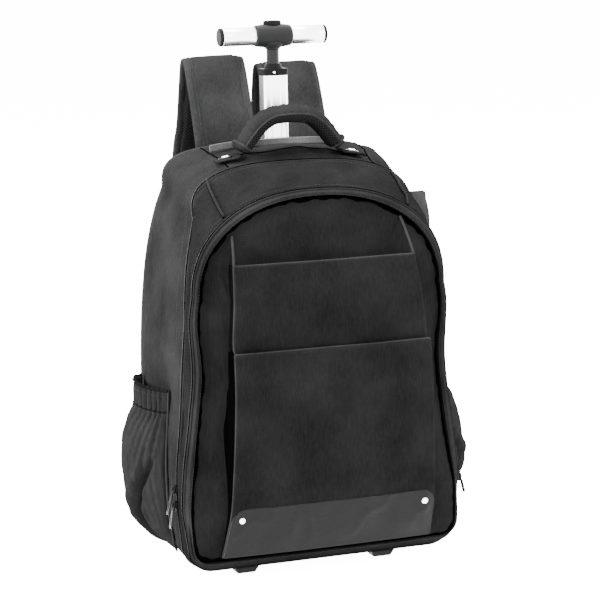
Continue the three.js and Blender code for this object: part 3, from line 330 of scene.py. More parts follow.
def band(name: str, path: np.ndarray, across: np.ndarray, half: np.ndarray | float, thick: np.ndarray | float,
         edge: int = 3, columns: int = 12) -> bpy.types.Object:
    """A flat strap along a path, with round edges.

    Args:
        name: the piece's name.
        path: the middle of the strap.
        across: the direction of its width, one for all or one for each place.
        half: half its width.
        thick: its thickness.
        edge: steps round each edge.
        columns: steps across its flat sides.

    Returns:
        The object.
    """
    across = np.broadcast_to(across, path.shape)
    ahead = unit(np.gradient(path, axis=0))
    out = unit(np.cross(across, ahead))
    half = np.broadcast_to(np.asarray(half, float), (len(path),))[:, None]
    r = np.broadcast_to(np.asarray(thick, float), (len(path),))[:, None] / 2
    flat = np.linspace(-1, 1, columns + 1)
    turn = np.linspace(-math.pi / 2, math.pi / 2, edge + 2)[1:-1]
    u = [flat * (half - r), (half - r) + r * np.cos(turn)[::-1], flat[::-1] * (half - r),
         -(half - r) - r * np.cos(turn)]
    v = [np.ones_like(flat) * r, r * np.sin(turn)[::-1], -np.ones_like(flat) * r, r * np.sin(turn)]
    u, v = np.concatenate(u, axis=1), np.concatenate(v, axis=1)
    rings = path[:, None] + across[:, None] * u[:, :, None] + out[:, None] * v[:, :, None]
    return closed_rings(name, rings)


def lathe(name: str, profile: list[tuple[float, float]], centre: np.ndarray, axis: np.ndarray = UP,
          segments: int = 48, squash: tuple[float, float] = (1, 1)) -> bpy.types.Object:
    """A turned body.

    Args:
        name: the piece's name.
        profile: pairs of radius and height, from one end to the other.
        centre: where height zero is.
        axis: the direction of height.
        segments: steps round.
        squash: factors on the two directions across the axis.

    Returns:
        The object.
    """
    side = np.array([0.0, 1.0, 0.0]) if abs(axis[0]) > 0.9 else RIGHT
    other = np.cross(axis, side)
    angle = np.arange(segments) * 2 * math.pi / segments
    round_ = side * (np.cos(angle) * squash[0])[:, None] + other * (np.sin(angle) * squash[1])[:, None]
    rings = np.array([centre + axis * h + round_ * max(r, 1e-6) for r, h in profile])
    return closed_rings(name, rings)


def hollow_lathe(name: str, profile: list[tuple[float, float]], centre: np.ndarray, axis: np.ndarray = UP,
                 segments: int = 48) -> bpy.types.Object:
    """A turned wall whose profile closes on itself, such as a tube or a tyre."""
    side = np.array([0.0, 1.0, 0.0]) if abs(axis[0]) > 0.9 else RIGHT
    other = np.cross(axis, side)
    angle = np.arange(segments) * 2 * math.pi / segments
    round_ = side * np.cos(angle)[:, None] + other * np.sin(angle)[:, None]
    rings = np.array([centre + axis * h + round_ * r for r, h in profile])
    rows = len(rings)
    faces = grid_faces(rows, segments, wrap=True)
    for c in range(segments):
        d = (c + 1) % segments
        faces.append(((rows - 1) * segments + c, (rows - 1) * segments + d, d, c))
    return outward(make_mesh(name, rings, faces, cloth_uv(rings)))


def prism(name: str, outline: np.ndarray, low: float, high: float, axes: tuple = (RIGHT, -FRONT, UP),
          hole: np.ndarray | None = None) -> bpy.types.Object:
    """A straight bar of any outline, with an optional hole of as many points, along the third axis."""
    a, b, c = axes
    ring = outline[:, :1] * a + outline[:, 1:] * b
    if hole is None:
        return closed_rings(name, np.array([ring + c * low, ring + c * high]))
    inner = hole[:, :1] * a + hole[:, 1:] * b
    rings = np.array([ring + c * low, ring + c * high, inner + c * high, inner + c * low])
    n = len(outline)
    faces = grid_faces(4, n, wrap=True)
    faces += [(3 * n + k, 3 * n + (k + 1) % n, (k + 1) % n, k) for k in range(n)]
    return outward(make_mesh(name, rings, faces, cloth_uv(rings)))


def rounded(width: float, depth: float, radius: float, steps: int = 6) -> np.ndarray:
    """The outline of a rectangle with round corners, round the origin."""
    corners = [(1, -1, -90), (1, 1, 0), (-1, 1, 90), (-1, -1, 180)]
    points = []
    for x, y, turn in corners:
        for k in range(steps + 1):
            angle = math.radians(turn + 90 * k / steps)
            points.append((x * (width / 2 - radius) + radius * math.cos(angle),
                           y * (depth / 2 - radius) + radius * math.sin(angle)))
    return np.array(points)


def joined(name: str, *objects: bpy.types.Object) -> bpy.types.Object:
    """One object that holds several meshes."""
    mesh = bmesh.new()
    for obj in objects:
        mesh.from_mesh(obj.data)
    whole = bpy.data.meshes.new(name)
    for layer in objects[0].data.uv_layers:
        whole.uv_layers.new(name=layer.name)
    mesh.to_mesh(whole)
    mesh.free()
    for obj in objects:
        bpy.data.objects.remove(obj)
    result = bpy.data.objects.new(name, whole)
    bpy.context.scene.collection.objects.link(result)
    return result


def with_modifier(obj: bpy.types.Object, kind: str, **settings) -> bpy.types.Object:
    """Adds a modifier with its settings."""
    modifier = obj.modifiers.new(kind.lower(), kind)
    for key, value in settings.items():
        setattr(modifier, key, value)
    return obj


def walled(obj: bpy.types.Object, wall: float, levels: int = 1) -> bpy.types.Object:
    """Gives a sheet its thickness, inwards, and rounds it."""
    with_modifier(obj, "SOLIDIFY", thickness=wall, offset=-1)
    if levels:
        with_modifier(obj, "SUBSURF", levels=levels, render_levels=levels)
    return obj


def bevelled(obj: bpy.types.Object, width: float, segments: int = 3) -> bpy.types.Object:
    """Rounds a hard piece's sharp edges."""
    return with_modifier(obj, "BEVEL", width=width, segments=segments, limit_method="ANGLE",
                         angle_limit=math.radians(35), harden_normals=True)


def baked(obj: bpy.types.Object) -> bpy.types.Object:
    """Turns an object with modifiers into a plain mesh of what they make."""
    evaluated = obj.evaluated_get(bpy.context.evaluated_depsgraph_get())
    mesh = bpy.data.meshes.new_from_object(evaluated)
    obj.modifiers.clear()
    obj.data = mesh
    return obj


# Node trees


def puffed(obj: bpy.types.Object, held: np.ndarray, cap: float, pressure: float = 4.0,
           voxel: float = 5 * MM, frames: int = 20) -> None:
    """Stuffs a padded piece: a remeshed twin swells as cloth, and the piece follows it.

    Args:
        obj: the piece, a little slimmer than it ends.
        held: places that stay where they are, such as sewn ends.
        cap: how far a point may move.
        pressure: the pressure inside.
        voxel: the twin's voxel size.
        frames: how long it swells.
    """
    twin = bpy.data.objects.new(f"{obj.name}_twin", obj.data.copy())
    bpy.context.scene.collection.objects.link(twin)
    remesh = twin.modifiers.new("remesh", "REMESH")
    remesh.mode, remesh.voxel_size = "VOXEL", voxel
    baked(twin)
    start = np.array([v.co for v in twin.data.vertices])
    near = np.min(np.linalg.norm(start[:, None] - held[None], axis=2), axis=1)
    pins = twin.vertex_groups.new(name="pins")
    pins.add(np.nonzero(near < voxel * 2)[0].tolist(), 1.0, "REPLACE")
    cloth = twin.modifiers.new("cloth", "CLOTH")
    cloth.settings.use_pressure = True
    cloth.settings.uniform_pressure_force = pressure
    cloth.settings.effector_weights.gravity = 0
    cloth.settings.vertex_group_mass = pins.name
    cloth.collision_settings.use_collision = False
    for frame in range(1, frames + 1):
        bpy.context.scene.frame_set(frame)
    result = twin.evaluated_get(bpy.context.evaluated_depsgraph_get()).to_mesh()
    push = np.array([v.co for v in result.vertices]) - start
    reach = np.linalg.norm(push, axis=1, keepdims=True)
    push *= np.minimum(1, cap / np.maximum(reach, 1e-9))
    bpy.data.objects.remove(twin)
    bpy.context.scene.frame_set(1)
    tree = KDTree(len(start))
    for index, spot in enumerate(start):
        tree.insert(spot, index)
    tree.balance()
    for vertex in obj.data.vertices:
        found = tree.find_n(vertex.co, 8)
        weights = np.array([1 / (distance + voxel * 0.5) for _, _, distance in found])
        vertex.co += Vector(np.average(push[[index for _, index, _ in found]], axis=0, weights=weights))
    obj.data.update()
    LOG.info("%s: swollen by %.1f mm at most", obj.name, float(reach.max()) / MM)


class Nodes:
    """Adds nodes to one tree."""

    def __init__(self, tree: bpy.types.NodeTree) -> None:
        """Keeps the tree."""
        self.tree = tree

    def add(self, kind: str, settings: dict | None = None, sockets: dict | None = None) -> bpy.types.Node:
        """A node with its settings, then the values or links of its sockets.

        Args:
            kind: the node's type.
            settings: properties, and under "stops" a ramp's places and colours.
            sockets: values, nodes, sockets or Value objects by input name or number.

        Returns:
            The node.
        """
        node = self.tree.nodes.new(kind)
        for key, value in (settings or {}).items():
            if key == "stops":
                self._stops(node.color_ramp, value)
            else:
                setattr(node, key, value)
        for key, value in (sockets or {}).items():
            target = node.inputs[key]
            if isinstance(value, Value):
                self.tree.links.new(value.socket, target)
            elif isinstance(value, bpy.types.NodeSocket):
                self.tree.links.new(value, target)
            elif isinstance(value, bpy.types.Node):
                self.tree.links.new(value.outputs[0], target)
            else:
                target.default_value = value
        return node

    def value(self, kind: str, settings: dict | None = None, sockets: dict | None = None,
              output: str | int = 0) -> "Value":
        """One output of a new node, ready for sums."""
        return Value(self, self.add(kind, settings, sockets).outputs[output])

    @staticmethod
    def _stops(ramp: bpy.types.ColorRamp, stops: list) -> None:
        """Sets a ramp's places and colours."""
        while len(ramp.elements) < len(stops):
            ramp.elements.new(1)
        for element, (place, colour) in zip(ramp.elements, stops):
            element.position = place
            element.color = (*colour, 1)


class Value:
    """A number in a shader. Sums on it add Math nodes."""

    def __init__(self, nodes: Nodes, socket: bpy.types.NodeSocket) -> None:
        """Keeps the socket."""
        self.nodes, self.socket = nodes, socket

    def math(self, operation: str, other: "Value | float" = 0.0, swap: bool = False) -> "Value":
        """A Math node on this value and another."""
        pair = (other, self) if swap else (self, other)
        return self.nodes.value("ShaderNodeMath", {"operation": operation}, dict(enumerate(pair)))

    def __add__(self, other: "Value | float") -> "Value":
        """Their sum."""
        return self.math("ADD", other)

    __radd__ = __add__

    def __sub__(self, other: "Value | float") -> "Value":
        """Their difference."""
        return self.math("SUBTRACT", other)

    def __rsub__(self, other: "Value | float") -> "Value":
        """A number less this value."""
        return self.math("SUBTRACT", other, swap=True)

    def __mul__(self, other: "Value | float") -> "Value":
        """Their product."""
        return self.math("MULTIPLY", other)

    __rmul__ = __mul__

    def __pow__(self, other: "Value | float") -> "Value":
        """A power of this value."""
        return self.math("POWER", other)

    def wave(self, pitch: float) -> "Value":
        """A sine of this length, with that pitch."""
        return (self * (2 * math.pi / pitch)).math("SINE")

    def span(self, low: float, high: float, to_low: float = 0.0, to_high: float = 1.0) -> "Value":
        """This value carried from one range to another and kept inside it."""
        return self.nodes.value("ShaderNodeMapRange", {}, {
            "Value": self, "From Min": low, "From Max": high, "To Min": to_low, "To Max": to_high})


# Finishes


class Weave(Enum):
    """How a cloth is woven."""

    PLAIN = "plain"
    TWILL = "twill"
    AIR_MESH = "air mesh"
    WEBBING = "webbing"
    BONDED = "bonded"


@dataclass(frozen=True)
class Finish:
    """What every finish has: a name, a colour, its roughness and the size of its marks."""

    name: str
    colour: tuple[float, float, float]
    roughness: float

    def shader(self, nodes: Nodes) -> dict:
        """The surface's sockets, in the words of the Principled shader."""
        return {}

    def fixed(self) -> dict:
        """Sockets that are the same all over the surface."""
        return {}

    def build(self) -> bpy.types.Material:
        """The material.

        Returns:
            A material of that name, made once.
        """
        title = f"{self.name}_surface"
        if title in bpy.data.materials:
            return bpy.data.materials[title]
        material = bpy.data.materials.new(title)
        material.use_nodes = True
        tree = material.node_tree
        tree.nodes.clear()
        nodes = Nodes(tree)
        varied = self.shader(nodes)
        surface = nodes.add("ShaderNodeBsdfPrincipled", {}, {**self.fixed(), **varied})
        nodes.add("ShaderNodeOutputMaterial", {}, {"Surface": surface.outputs[0]})
        material.diffuse_color = (*self.colour, 1)
        return material

    def mottled(self, nodes: Nodes, mask: "Value", dark: float, light: float) -> bpy.types.NodeSocket:
        """The colour, darker or lighter by a mask from 0 to 1."""
        low = tuple(c * dark for c in self.colour)
        high = tuple(min(c * light, 1) for c in self.colour)
        return nodes.add("ShaderNodeMix", {"data_type": "RGBA"}, {
            "Factor": mask, "A": (*low, 1), "B": (*high, 1)}).outputs["Result"]

    @staticmethod
    def cloud(nodes: Nodes, size: float, detail: float = 3.0, stretch: tuple = (1, 1, 1)) -> "Value":
        """Noise from 0 to 1 over the object, with clouds of that size."""
        place = nodes.add("ShaderNodeTexCoord").outputs["Object"]
        scaled = nodes.add("ShaderNodeMapping", {}, {
            "Vector": place, "Scale": tuple(1 / (size * s) for s in stretch)})
        return nodes.value("ShaderNodeTexNoise", {}, {"Vector": scaled, "Scale": 1.0, "Detail": detail},
                           "Fac")


@dataclass(frozen=True)
class Cloth(Finish):
    """Woven or knitted cloth, whose threads follow the piece's own cloth coordinates."""

    weave: Weave = Weave.PLAIN
    pitch: float = 1.1 * MM
    depth: float = 0.25
    contrast: float = 0.35

    def fixed(self) -> dict:
        """No shine, as the threads scatter all light."""
        return {"Specular IOR Level": 0.0}

    def threads(self, u: Value, v: Value) -> Value:
        """The height of the threads, from 0 to 1."""
        p = self.pitch
        if self.weave is Weave.TWILL:
            return (u + v).wave(p * 2.2) * 0.3 + u.wave(p) * v.wave(p) * 0.2 + 0.5
        if self.weave is Weave.AIR_MESH:
            return ((u + v).wave(p) + (u - v).wave(p)) * 0.25 + 0.5
        if self.weave is Weave.WEBBING:
            return (v + u.wave(p * 2) * (p * 0.3)).wave(p) * 0.35 + u.wave(p * 0.7) * 0.15 + 0.5
        if self.weave is Weave.BONDED:
            return u.wave(p) * 0.15 + v.wave(p) * 0.15 + 0.5
        return u.wave(p) * v.wave(p) * 0.5 + 0.5

    def shader(self, nodes: Nodes) -> dict:
        """Threads, slubs and the cloth's slow changes of tone."""
        place = nodes.add("ShaderNodeUVMap", {"uv_map": "cloth"})
        parts = nodes.add("ShaderNodeSeparateXYZ", {}, {"Vector": place})
        u, v = Value(nodes, parts.outputs["X"]), Value(nodes, parts.outputs["Y"])
        height = self.threads(u, v)
        slub = self.cloud(nodes, 1.6 * MM, 2.0, (1, 1, 6))
        tone = self.cloud(nodes, 52 * MM, 4.0)
        fleck = self.cloud(nodes, 2.4 * MM, 3.0)
        if self.weave is Weave.AIR_MESH:
            mask = height.span(0.28, 0.62)
        else:
            cloudy = tone.span(0.3, 0.7)
            mask = (height * self.contrast + slub.span(0.25, 0.75) * 0.3 + fleck * 0.3 + cloudy * 0.55
                    - (0.075 + self.contrast / 2))
        rough = tone.span(0.3, 0.7, self.roughness - 0.05, self.roughness + 0.05)
        relief = height * self.depth + slub * 0.12 + fleck * 0.1
        normal = nodes.add("ShaderNodeBump", {}, {"Height": relief, "Strength": 0.55, "Distance": 0.5 * MM})
        return {"Base Color": self.mottled(nodes, mask.span(0, 1), 0.5, 1.6), "Roughness": rough,
                "Normal": normal.outputs[0]}


@dataclass(frozen=True)
class Leather(Finish):
    """Leatherette with a fine pebbled grain."""

    grain: float = 1.3 * MM

    def fixed(self) -> dict:
        """The soft gloss of the coating."""
        return {"Specular IOR Level": 0.05}

    def shader(self, nodes: Nodes) -> dict:
        """Pebbles, wrinkles and rubbed patches."""
        place = nodes.add("ShaderNodeTexCoord").outputs["Object"]
        cells = nodes.value("ShaderNodeTexVoronoi", {"feature": "DISTANCE_TO_EDGE"}, {
            "Vector": place, "Scale": 1 / self.grain}, "Distance")
        tone = self.cloud(nodes, 45 * MM)
        relief = cells.span(0, 0.35) + self.cloud(nodes, 0.5 * MM) * 0.3
        normal = nodes.add("ShaderNodeBump", {}, {"Height": relief, "Strength": 0.35, "Distance": 0.25 * MM})
        mask = (cells.span(0, 0.25) * 0.4 + tone * 0.6).span(0.1, 0.9)
        return {"Base Color": self.mottled(nodes, mask, 0.75, 1.25), "Normal": normal.outputs[0],
                "Roughness": tone.span(0.3, 0.7, self.roughness - 0.06, self.roughness + 0.08)}


@dataclass(frozen=True)
class Metal(Finish):
    """Bright metal, drawn along one axis."""

    drawn: tuple[float, float, float] = (1, 1, 30)
    marks: float = 0.04

    def fixed(self) -> dict:
        """Metal all over."""
        return {"Metallic": 1.0}

    def shader(self, nodes: Nodes) -> dict:
        """Drawing lines and faint smears."""
        lines = self.cloud(nodes, 0.6 * MM, 3.0, self.drawn)
        smear = self.cloud(nodes, 25 * MM)
        rough = (lines * self.marks + smear * 0.1) + (self.roughness - 0.05)
        normal = nodes.add("ShaderNodeBump", {}, {"Height": lines, "Strength": 0.08, "Distance": 0.1 * MM})
        return {"Base Color": self.mottled(nodes, smear.span(0.3, 0.7), 0.94, 1.03), "Roughness": rough,
                "Normal": normal.outputs[0]}


@dataclass(frozen=True)
class Moulded(Finish):
    """Moulded plastic or rubber with a fine spark-eroded grain."""

    grain: float = 0.5 * MM
    gloss: float = 0.03
    depth: float = 0.25

    def fixed(self) -> dict:
        """The shine of the skin."""
        return {"Specular IOR Level": self.gloss}

    def shader(self, nodes: Nodes) -> dict:
        """Grain, and dust that dulls some patches."""
        grain = self.cloud(nodes, self.grain, 2.0)
        dust = self.cloud(nodes, 18 * MM, 4.0)
        normal = nodes.add("ShaderNodeBump", {},
                           {"Height": grain, "Strength": self.depth, "Distance": 0.15 * MM})
        return {"Base Color": self.mottled(nodes, (dust * 0.7 + grain * 0.3).span(0.25, 0.75), 0.85, 1.2),
                "Roughness": dust.span(0.3, 0.7, self.roughness - 0.06, self.roughness + 0.08),
                "Normal": normal.outputs[0]}


BODY_CLOTH = Cloth("body_cloth", (0.04, 0.0401, 0.0405), 0.82, Weave.PLAIN, 1.0 * MM)
FACE_CLOTH = Cloth("face_cloth", (0.026, 0.0261, 0.0264), 0.84, Weave.TWILL, 0.9 * MM)
STRAP_CLOTH = Cloth("strap_cloth", (0.042, 0.0421, 0.0425), 0.8, Weave.PLAIN, 1.0 * MM)
AIR_MESH = Cloth("air_mesh", (0.022, 0.022, 0.0225), 0.9, Weave.AIR_MESH, 3.4 * MM, 1.6)
BINDING = Cloth("binding", (0.06, 0.0602, 0.061), 0.75, Weave.WEBBING, 1.4 * MM, 0.3)
# Near-black cloth that is painted shade: in the zips' gaps, the piping's groove, the seam lines and at the
# lower pocket's sides, with its painted shadow on the face.
SHADOW_CLOTH = Cloth("fold_cloth", (0.0022, 0.0022, 0.0023), 0.9, Weave.TWILL, 0.9 * MM)
# The zip tape's own black, also laid on the upper pocket's side walls as painted shade.
TAPE_AND_SIDE_SHADE = Cloth("zip_tape", (0.006, 0.006, 0.0063), 0.85, Weave.TWILL, 0.7 * MM, 0.2)
WEBBING = Cloth("webbing", (0.018, 0.018, 0.0186), 0.7, Weave.WEBBING, 1.8 * MM, 0.8)
GREY_CLOTH = Cloth("grey_cloth", (0.27, 0.271, 0.272), 0.7, Weave.BONDED, 0.8 * MM, 0.2, 0.15)
TAB_CLOTH = Cloth("tab_cloth", (0.11, 0.1105, 0.111), 0.7, Weave.BONDED, 0.8 * MM, 0.2, 0.15)
THREAD = Moulded("thread", (0.06, 0.0602, 0.061), 0.6, 0.3 * MM)
COIL = Moulded("coil", (0.09, 0.09, 0.091), 0.35, 0.4 * MM, 0.15)
LEATHERETTE = Leather("leatherette", (0.022, 0.0221, 0.0223), 0.46)
LEATHER_EDGE = Leather("leatherette_edge", (0.11, 0.1102, 0.111), 0.4)
CHROME = Metal("chrome", (0.88, 0.88, 0.89), 0.14, (1, 1, 1), 0.02)
ALUMINIUM = Metal("bright_aluminium", (0.86, 0.865, 0.875), 0.3)
GRIP_METAL = Metal("grip_aluminium", (0.86, 0.865, 0.875), 0.28, (30, 1, 1))
DARK_METAL = Metal("dark_metal", (0.011, 0.011, 0.0113), 0.26, (1, 1, 1), 0.03)
GREY_PLASTIC = Moulded("grey_plastic", (0.03, 0.0302, 0.0308), 0.42, 0.5 * MM, 0.05, 0.2)
BLACK_PLASTIC = Moulded("black_plastic", (0.014, 0.014, 0.0144), 0.48)
FOOT_RUBBER = Moulded("foot_rubber", (0.03, 0.0302, 0.0308), 0.62, 0.6 * MM, 0.05)
WHEEL_RUBBER = Moulded("wheel_rubber", (0.013, 0.013, 0.0134), 0.75, 0.8 * MM, 0.04, 0.4)


def dress(obj: bpy.types.Object, finish: Finish) -> bpy.types.Object:
    """Gives a piece its finish."""
    obj.data.materials.clear()
    obj.data.materials.append(finish.build())
    return obj


def place(obj: bpy.types.Object, finish: Finish, slot: str, *nodes: str, body: str = "root",
          padded: float | None = None) -> bpy.types.Object:
    """Dresses a piece, lets it ride and hides the solids it stands for.

    Args:
        obj: the piece.
        finish: its finish.
        slot: the record's material slot; not used.
        nodes: the solids that it replaces.
        body: the body that it moves with.
        padded: how full a padded piece is; not used.

    Returns:
        The piece.
    """
    dress(obj, finish)
    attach(obj, body)
    if nodes:
        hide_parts(*nodes)
    LOG.info("%s: %d faces, %s on %s", obj.name, len(obj.data.polygons), finish.name, body)
    return obj


# What repeats along a path


class Bead(Enum):
    """What stands along a path: its shape is a ball or a block, stretched to size."""

    STITCH = "ball"
    COIL = "ball "
    RIB = "block"


@dataclass
class Row:
    """Copies of one small shape along paths, made by Geometry Nodes.

    Args are the copies' spacing, and their size along the path, across it and out of the surface.
    """

    bead: Bead
    spacing: float
    size: tuple[float, float, float]
    finish: Finish

    def tree(self) -> bpy.types.NodeTree:
        """The node group, with named inputs for the sizes."""
        tree = bpy.data.node_groups.new("row_along_path", "GeometryNodeTree")
        face = tree.interface
        face.new_socket("Geometry", in_out="INPUT", socket_type="NodeSocketGeometry")
        for name in ("Spacing", "Length", "Width", "Height"):
            face.new_socket(name, in_out="INPUT", socket_type="NodeSocketFloat")
        face.new_socket("Material", in_out="INPUT", socket_type="NodeSocketMaterial")
        face.new_socket("Geometry", in_out="OUTPUT", socket_type="NodeSocketGeometry")
        nodes = Nodes(tree)
        given = nodes.add("NodeGroupInput").outputs
        curve = nodes.add("GeometryNodeMeshToCurve", {}, {"Mesh": given["Geometry"]})
        points = nodes.add("GeometryNodeCurveToPoints", {"mode": "LENGTH"}, {
            "Curve": curve, "Length": given["Spacing"]})
        out = nodes.add("GeometryNodeInputNamedAttribute", {"data_type": "FLOAT_VECTOR"}, {"Name": "out"})
        first = nodes.add("FunctionNodeAlignRotationToVector", {"axis": "X"}, {
            "Vector": points.outputs["Tangent"]})
        turned = nodes.add("FunctionNodeAlignRotationToVector", {"axis": "Z", "pivot_axis": "X"}, {
            "Rotation": first, "Vector": out.outputs["Attribute"]})
        if self.bead is Bead.RIB:
            shape = nodes.add("GeometryNodeMeshCube", {}, {"Size": (1, 1, 1)}).outputs["Mesh"]
        else:
            shape = nodes.add("GeometryNodeMeshUVSphere", {}, {
                "Segments": 6, "Rings": 5, "Radius": 0.5}).outputs["Mesh"]
        size = nodes.add("ShaderNodeCombineXYZ", {}, {
            "X": given["Length"], "Y": given["Width"], "Z": given["Height"]})
        copies = nodes.add("GeometryNodeInstanceOnPoints", {}, {
            "Points": points.outputs["Points"], "Instance": shape, "Rotation": turned.outputs[0],
            "Scale": size})
        real = nodes.add("GeometryNodeRealizeInstances", {}, {"Geometry": copies})
        smooth_ = nodes.add("GeometryNodeSetShadeSmooth", {}, {"Geometry": real})
        dressed = nodes.add("GeometryNodeSetMaterial", {},
                            {"Geometry": smooth_, "Material": given["Material"]})
        nodes.add("NodeGroupOutput", {}, {"Geometry": dressed})
        return tree

    def along(self, name: str, paths: list[tuple[np.ndarray, np.ndarray, bool]]) -> bpy.types.Object:
        """Sets the copies along paths.

        Args:
            name: the piece's name.
            paths: for each path its points, the direction out of the surface at each and whether it closes.

        Returns:
            One plain mesh.
        """
        verts, outs, edges = [], [], []
        for points, out, closed in paths:
            start = sum(map(len, verts))
            verts.append(points)
            outs.append(np.broadcast_to(out, points.shape))
            edges += [(start + k, start + k + 1) for k in range(len(points) - 1)]
            if closed:
                edges.append((start + len(points) - 1, start))
        mesh = bpy.data.meshes.new(name)
        mesh.from_pydata([tuple(v) for v in np.concatenate(verts)], edges, [])
        attribute = mesh.attributes.new("out", "FLOAT_VECTOR", "POINT")
        attribute.data.foreach_set("vector", np.concatenate(outs).astype(np.float32).ravel())
        obj = bpy.data.objects.new(name, mesh)
        bpy.context.scene.collection.objects.link(obj)
        modifier = obj.modifiers.new("row", "NODES")
        tree = self.tree()
        modifier.node_group = tree
        values = {"Spacing": self.spacing, "Length": self.size[0], "Width": self.size[1],
                  "Height": self.size[2],
                  "Material": self.finish.build()}
        for item in tree.interface.items_tree:
            if item.in_out == "INPUT" and item.name in values:
                modifier[item.identifier] = values[item.name]
        return baked(obj)


STITCHES = Row(Bead.STITCH, 3.4 * MM, (2.7 * MM, 0.7 * MM, 0.6 * MM), THREAD)


# The cloth body's outlines

SIDE = Table("height back zip front seam", [
    (0.07, 0.93, 0.975, 0.96, 0.945),
    (0.12, 0.95, 0.993, 0.98, 0.963),
    (0.19, 0.965, 1.01, 1.007, 0.96),
    (0.27, 0.974, 1.008, 0.993, 0.928),
    (0.39, 0.98, 0.974, 0.947, 0.882),
    (0.51, 0.976, 0.951, 0.914, 0.849),
    (0.62, 0.958, 0.924, 0.928, 0.878),
    (0.676, 0.942, 0.914, 0.908, 0.862),
    (0.75, 0.912, 0.883, 0.86, 0.8),
    (0.85, 0.84, 0.796, 0.7, 0.6),
    (0.9, 0.783, 0.74, 0.5, 0.4),
])
DEPTH = Table("height zip front seam", [
    (0.03, 0.84, 0.976, 1.112),
    (0.07, 0.864, 0.99, 1.112),
    (0.19, 0.88, 1, 1.07),
    (0.39, 0.88, 1, 1.016),
    (0.69, 0.864, 1, 1.016),
    (0.8, 0.776, 0.992, 1.008),
    (0.85, 0.704, 0.984, 1),
    (0.91, 0.6, 0.96, 0.976),
    (0.966, 0.52, 0.95, 0.97),
])
# Each outline's shoulder and crest as shares of the height, its arch's squareness, and its corners and lift.
ARCHES = {
    "back": (0.9, 0.991, 3.5, 28 * MM, 0.0),
    "zip": (0.85, 0.966, 2.7, 28 * MM, 0.0),
    "front": (0.676, 0.911, 2.3, 26 * MM, 1 * MM),
    "seam": (0.676, 0.893, 2.12, 16 * MM, 15 * MM),
}


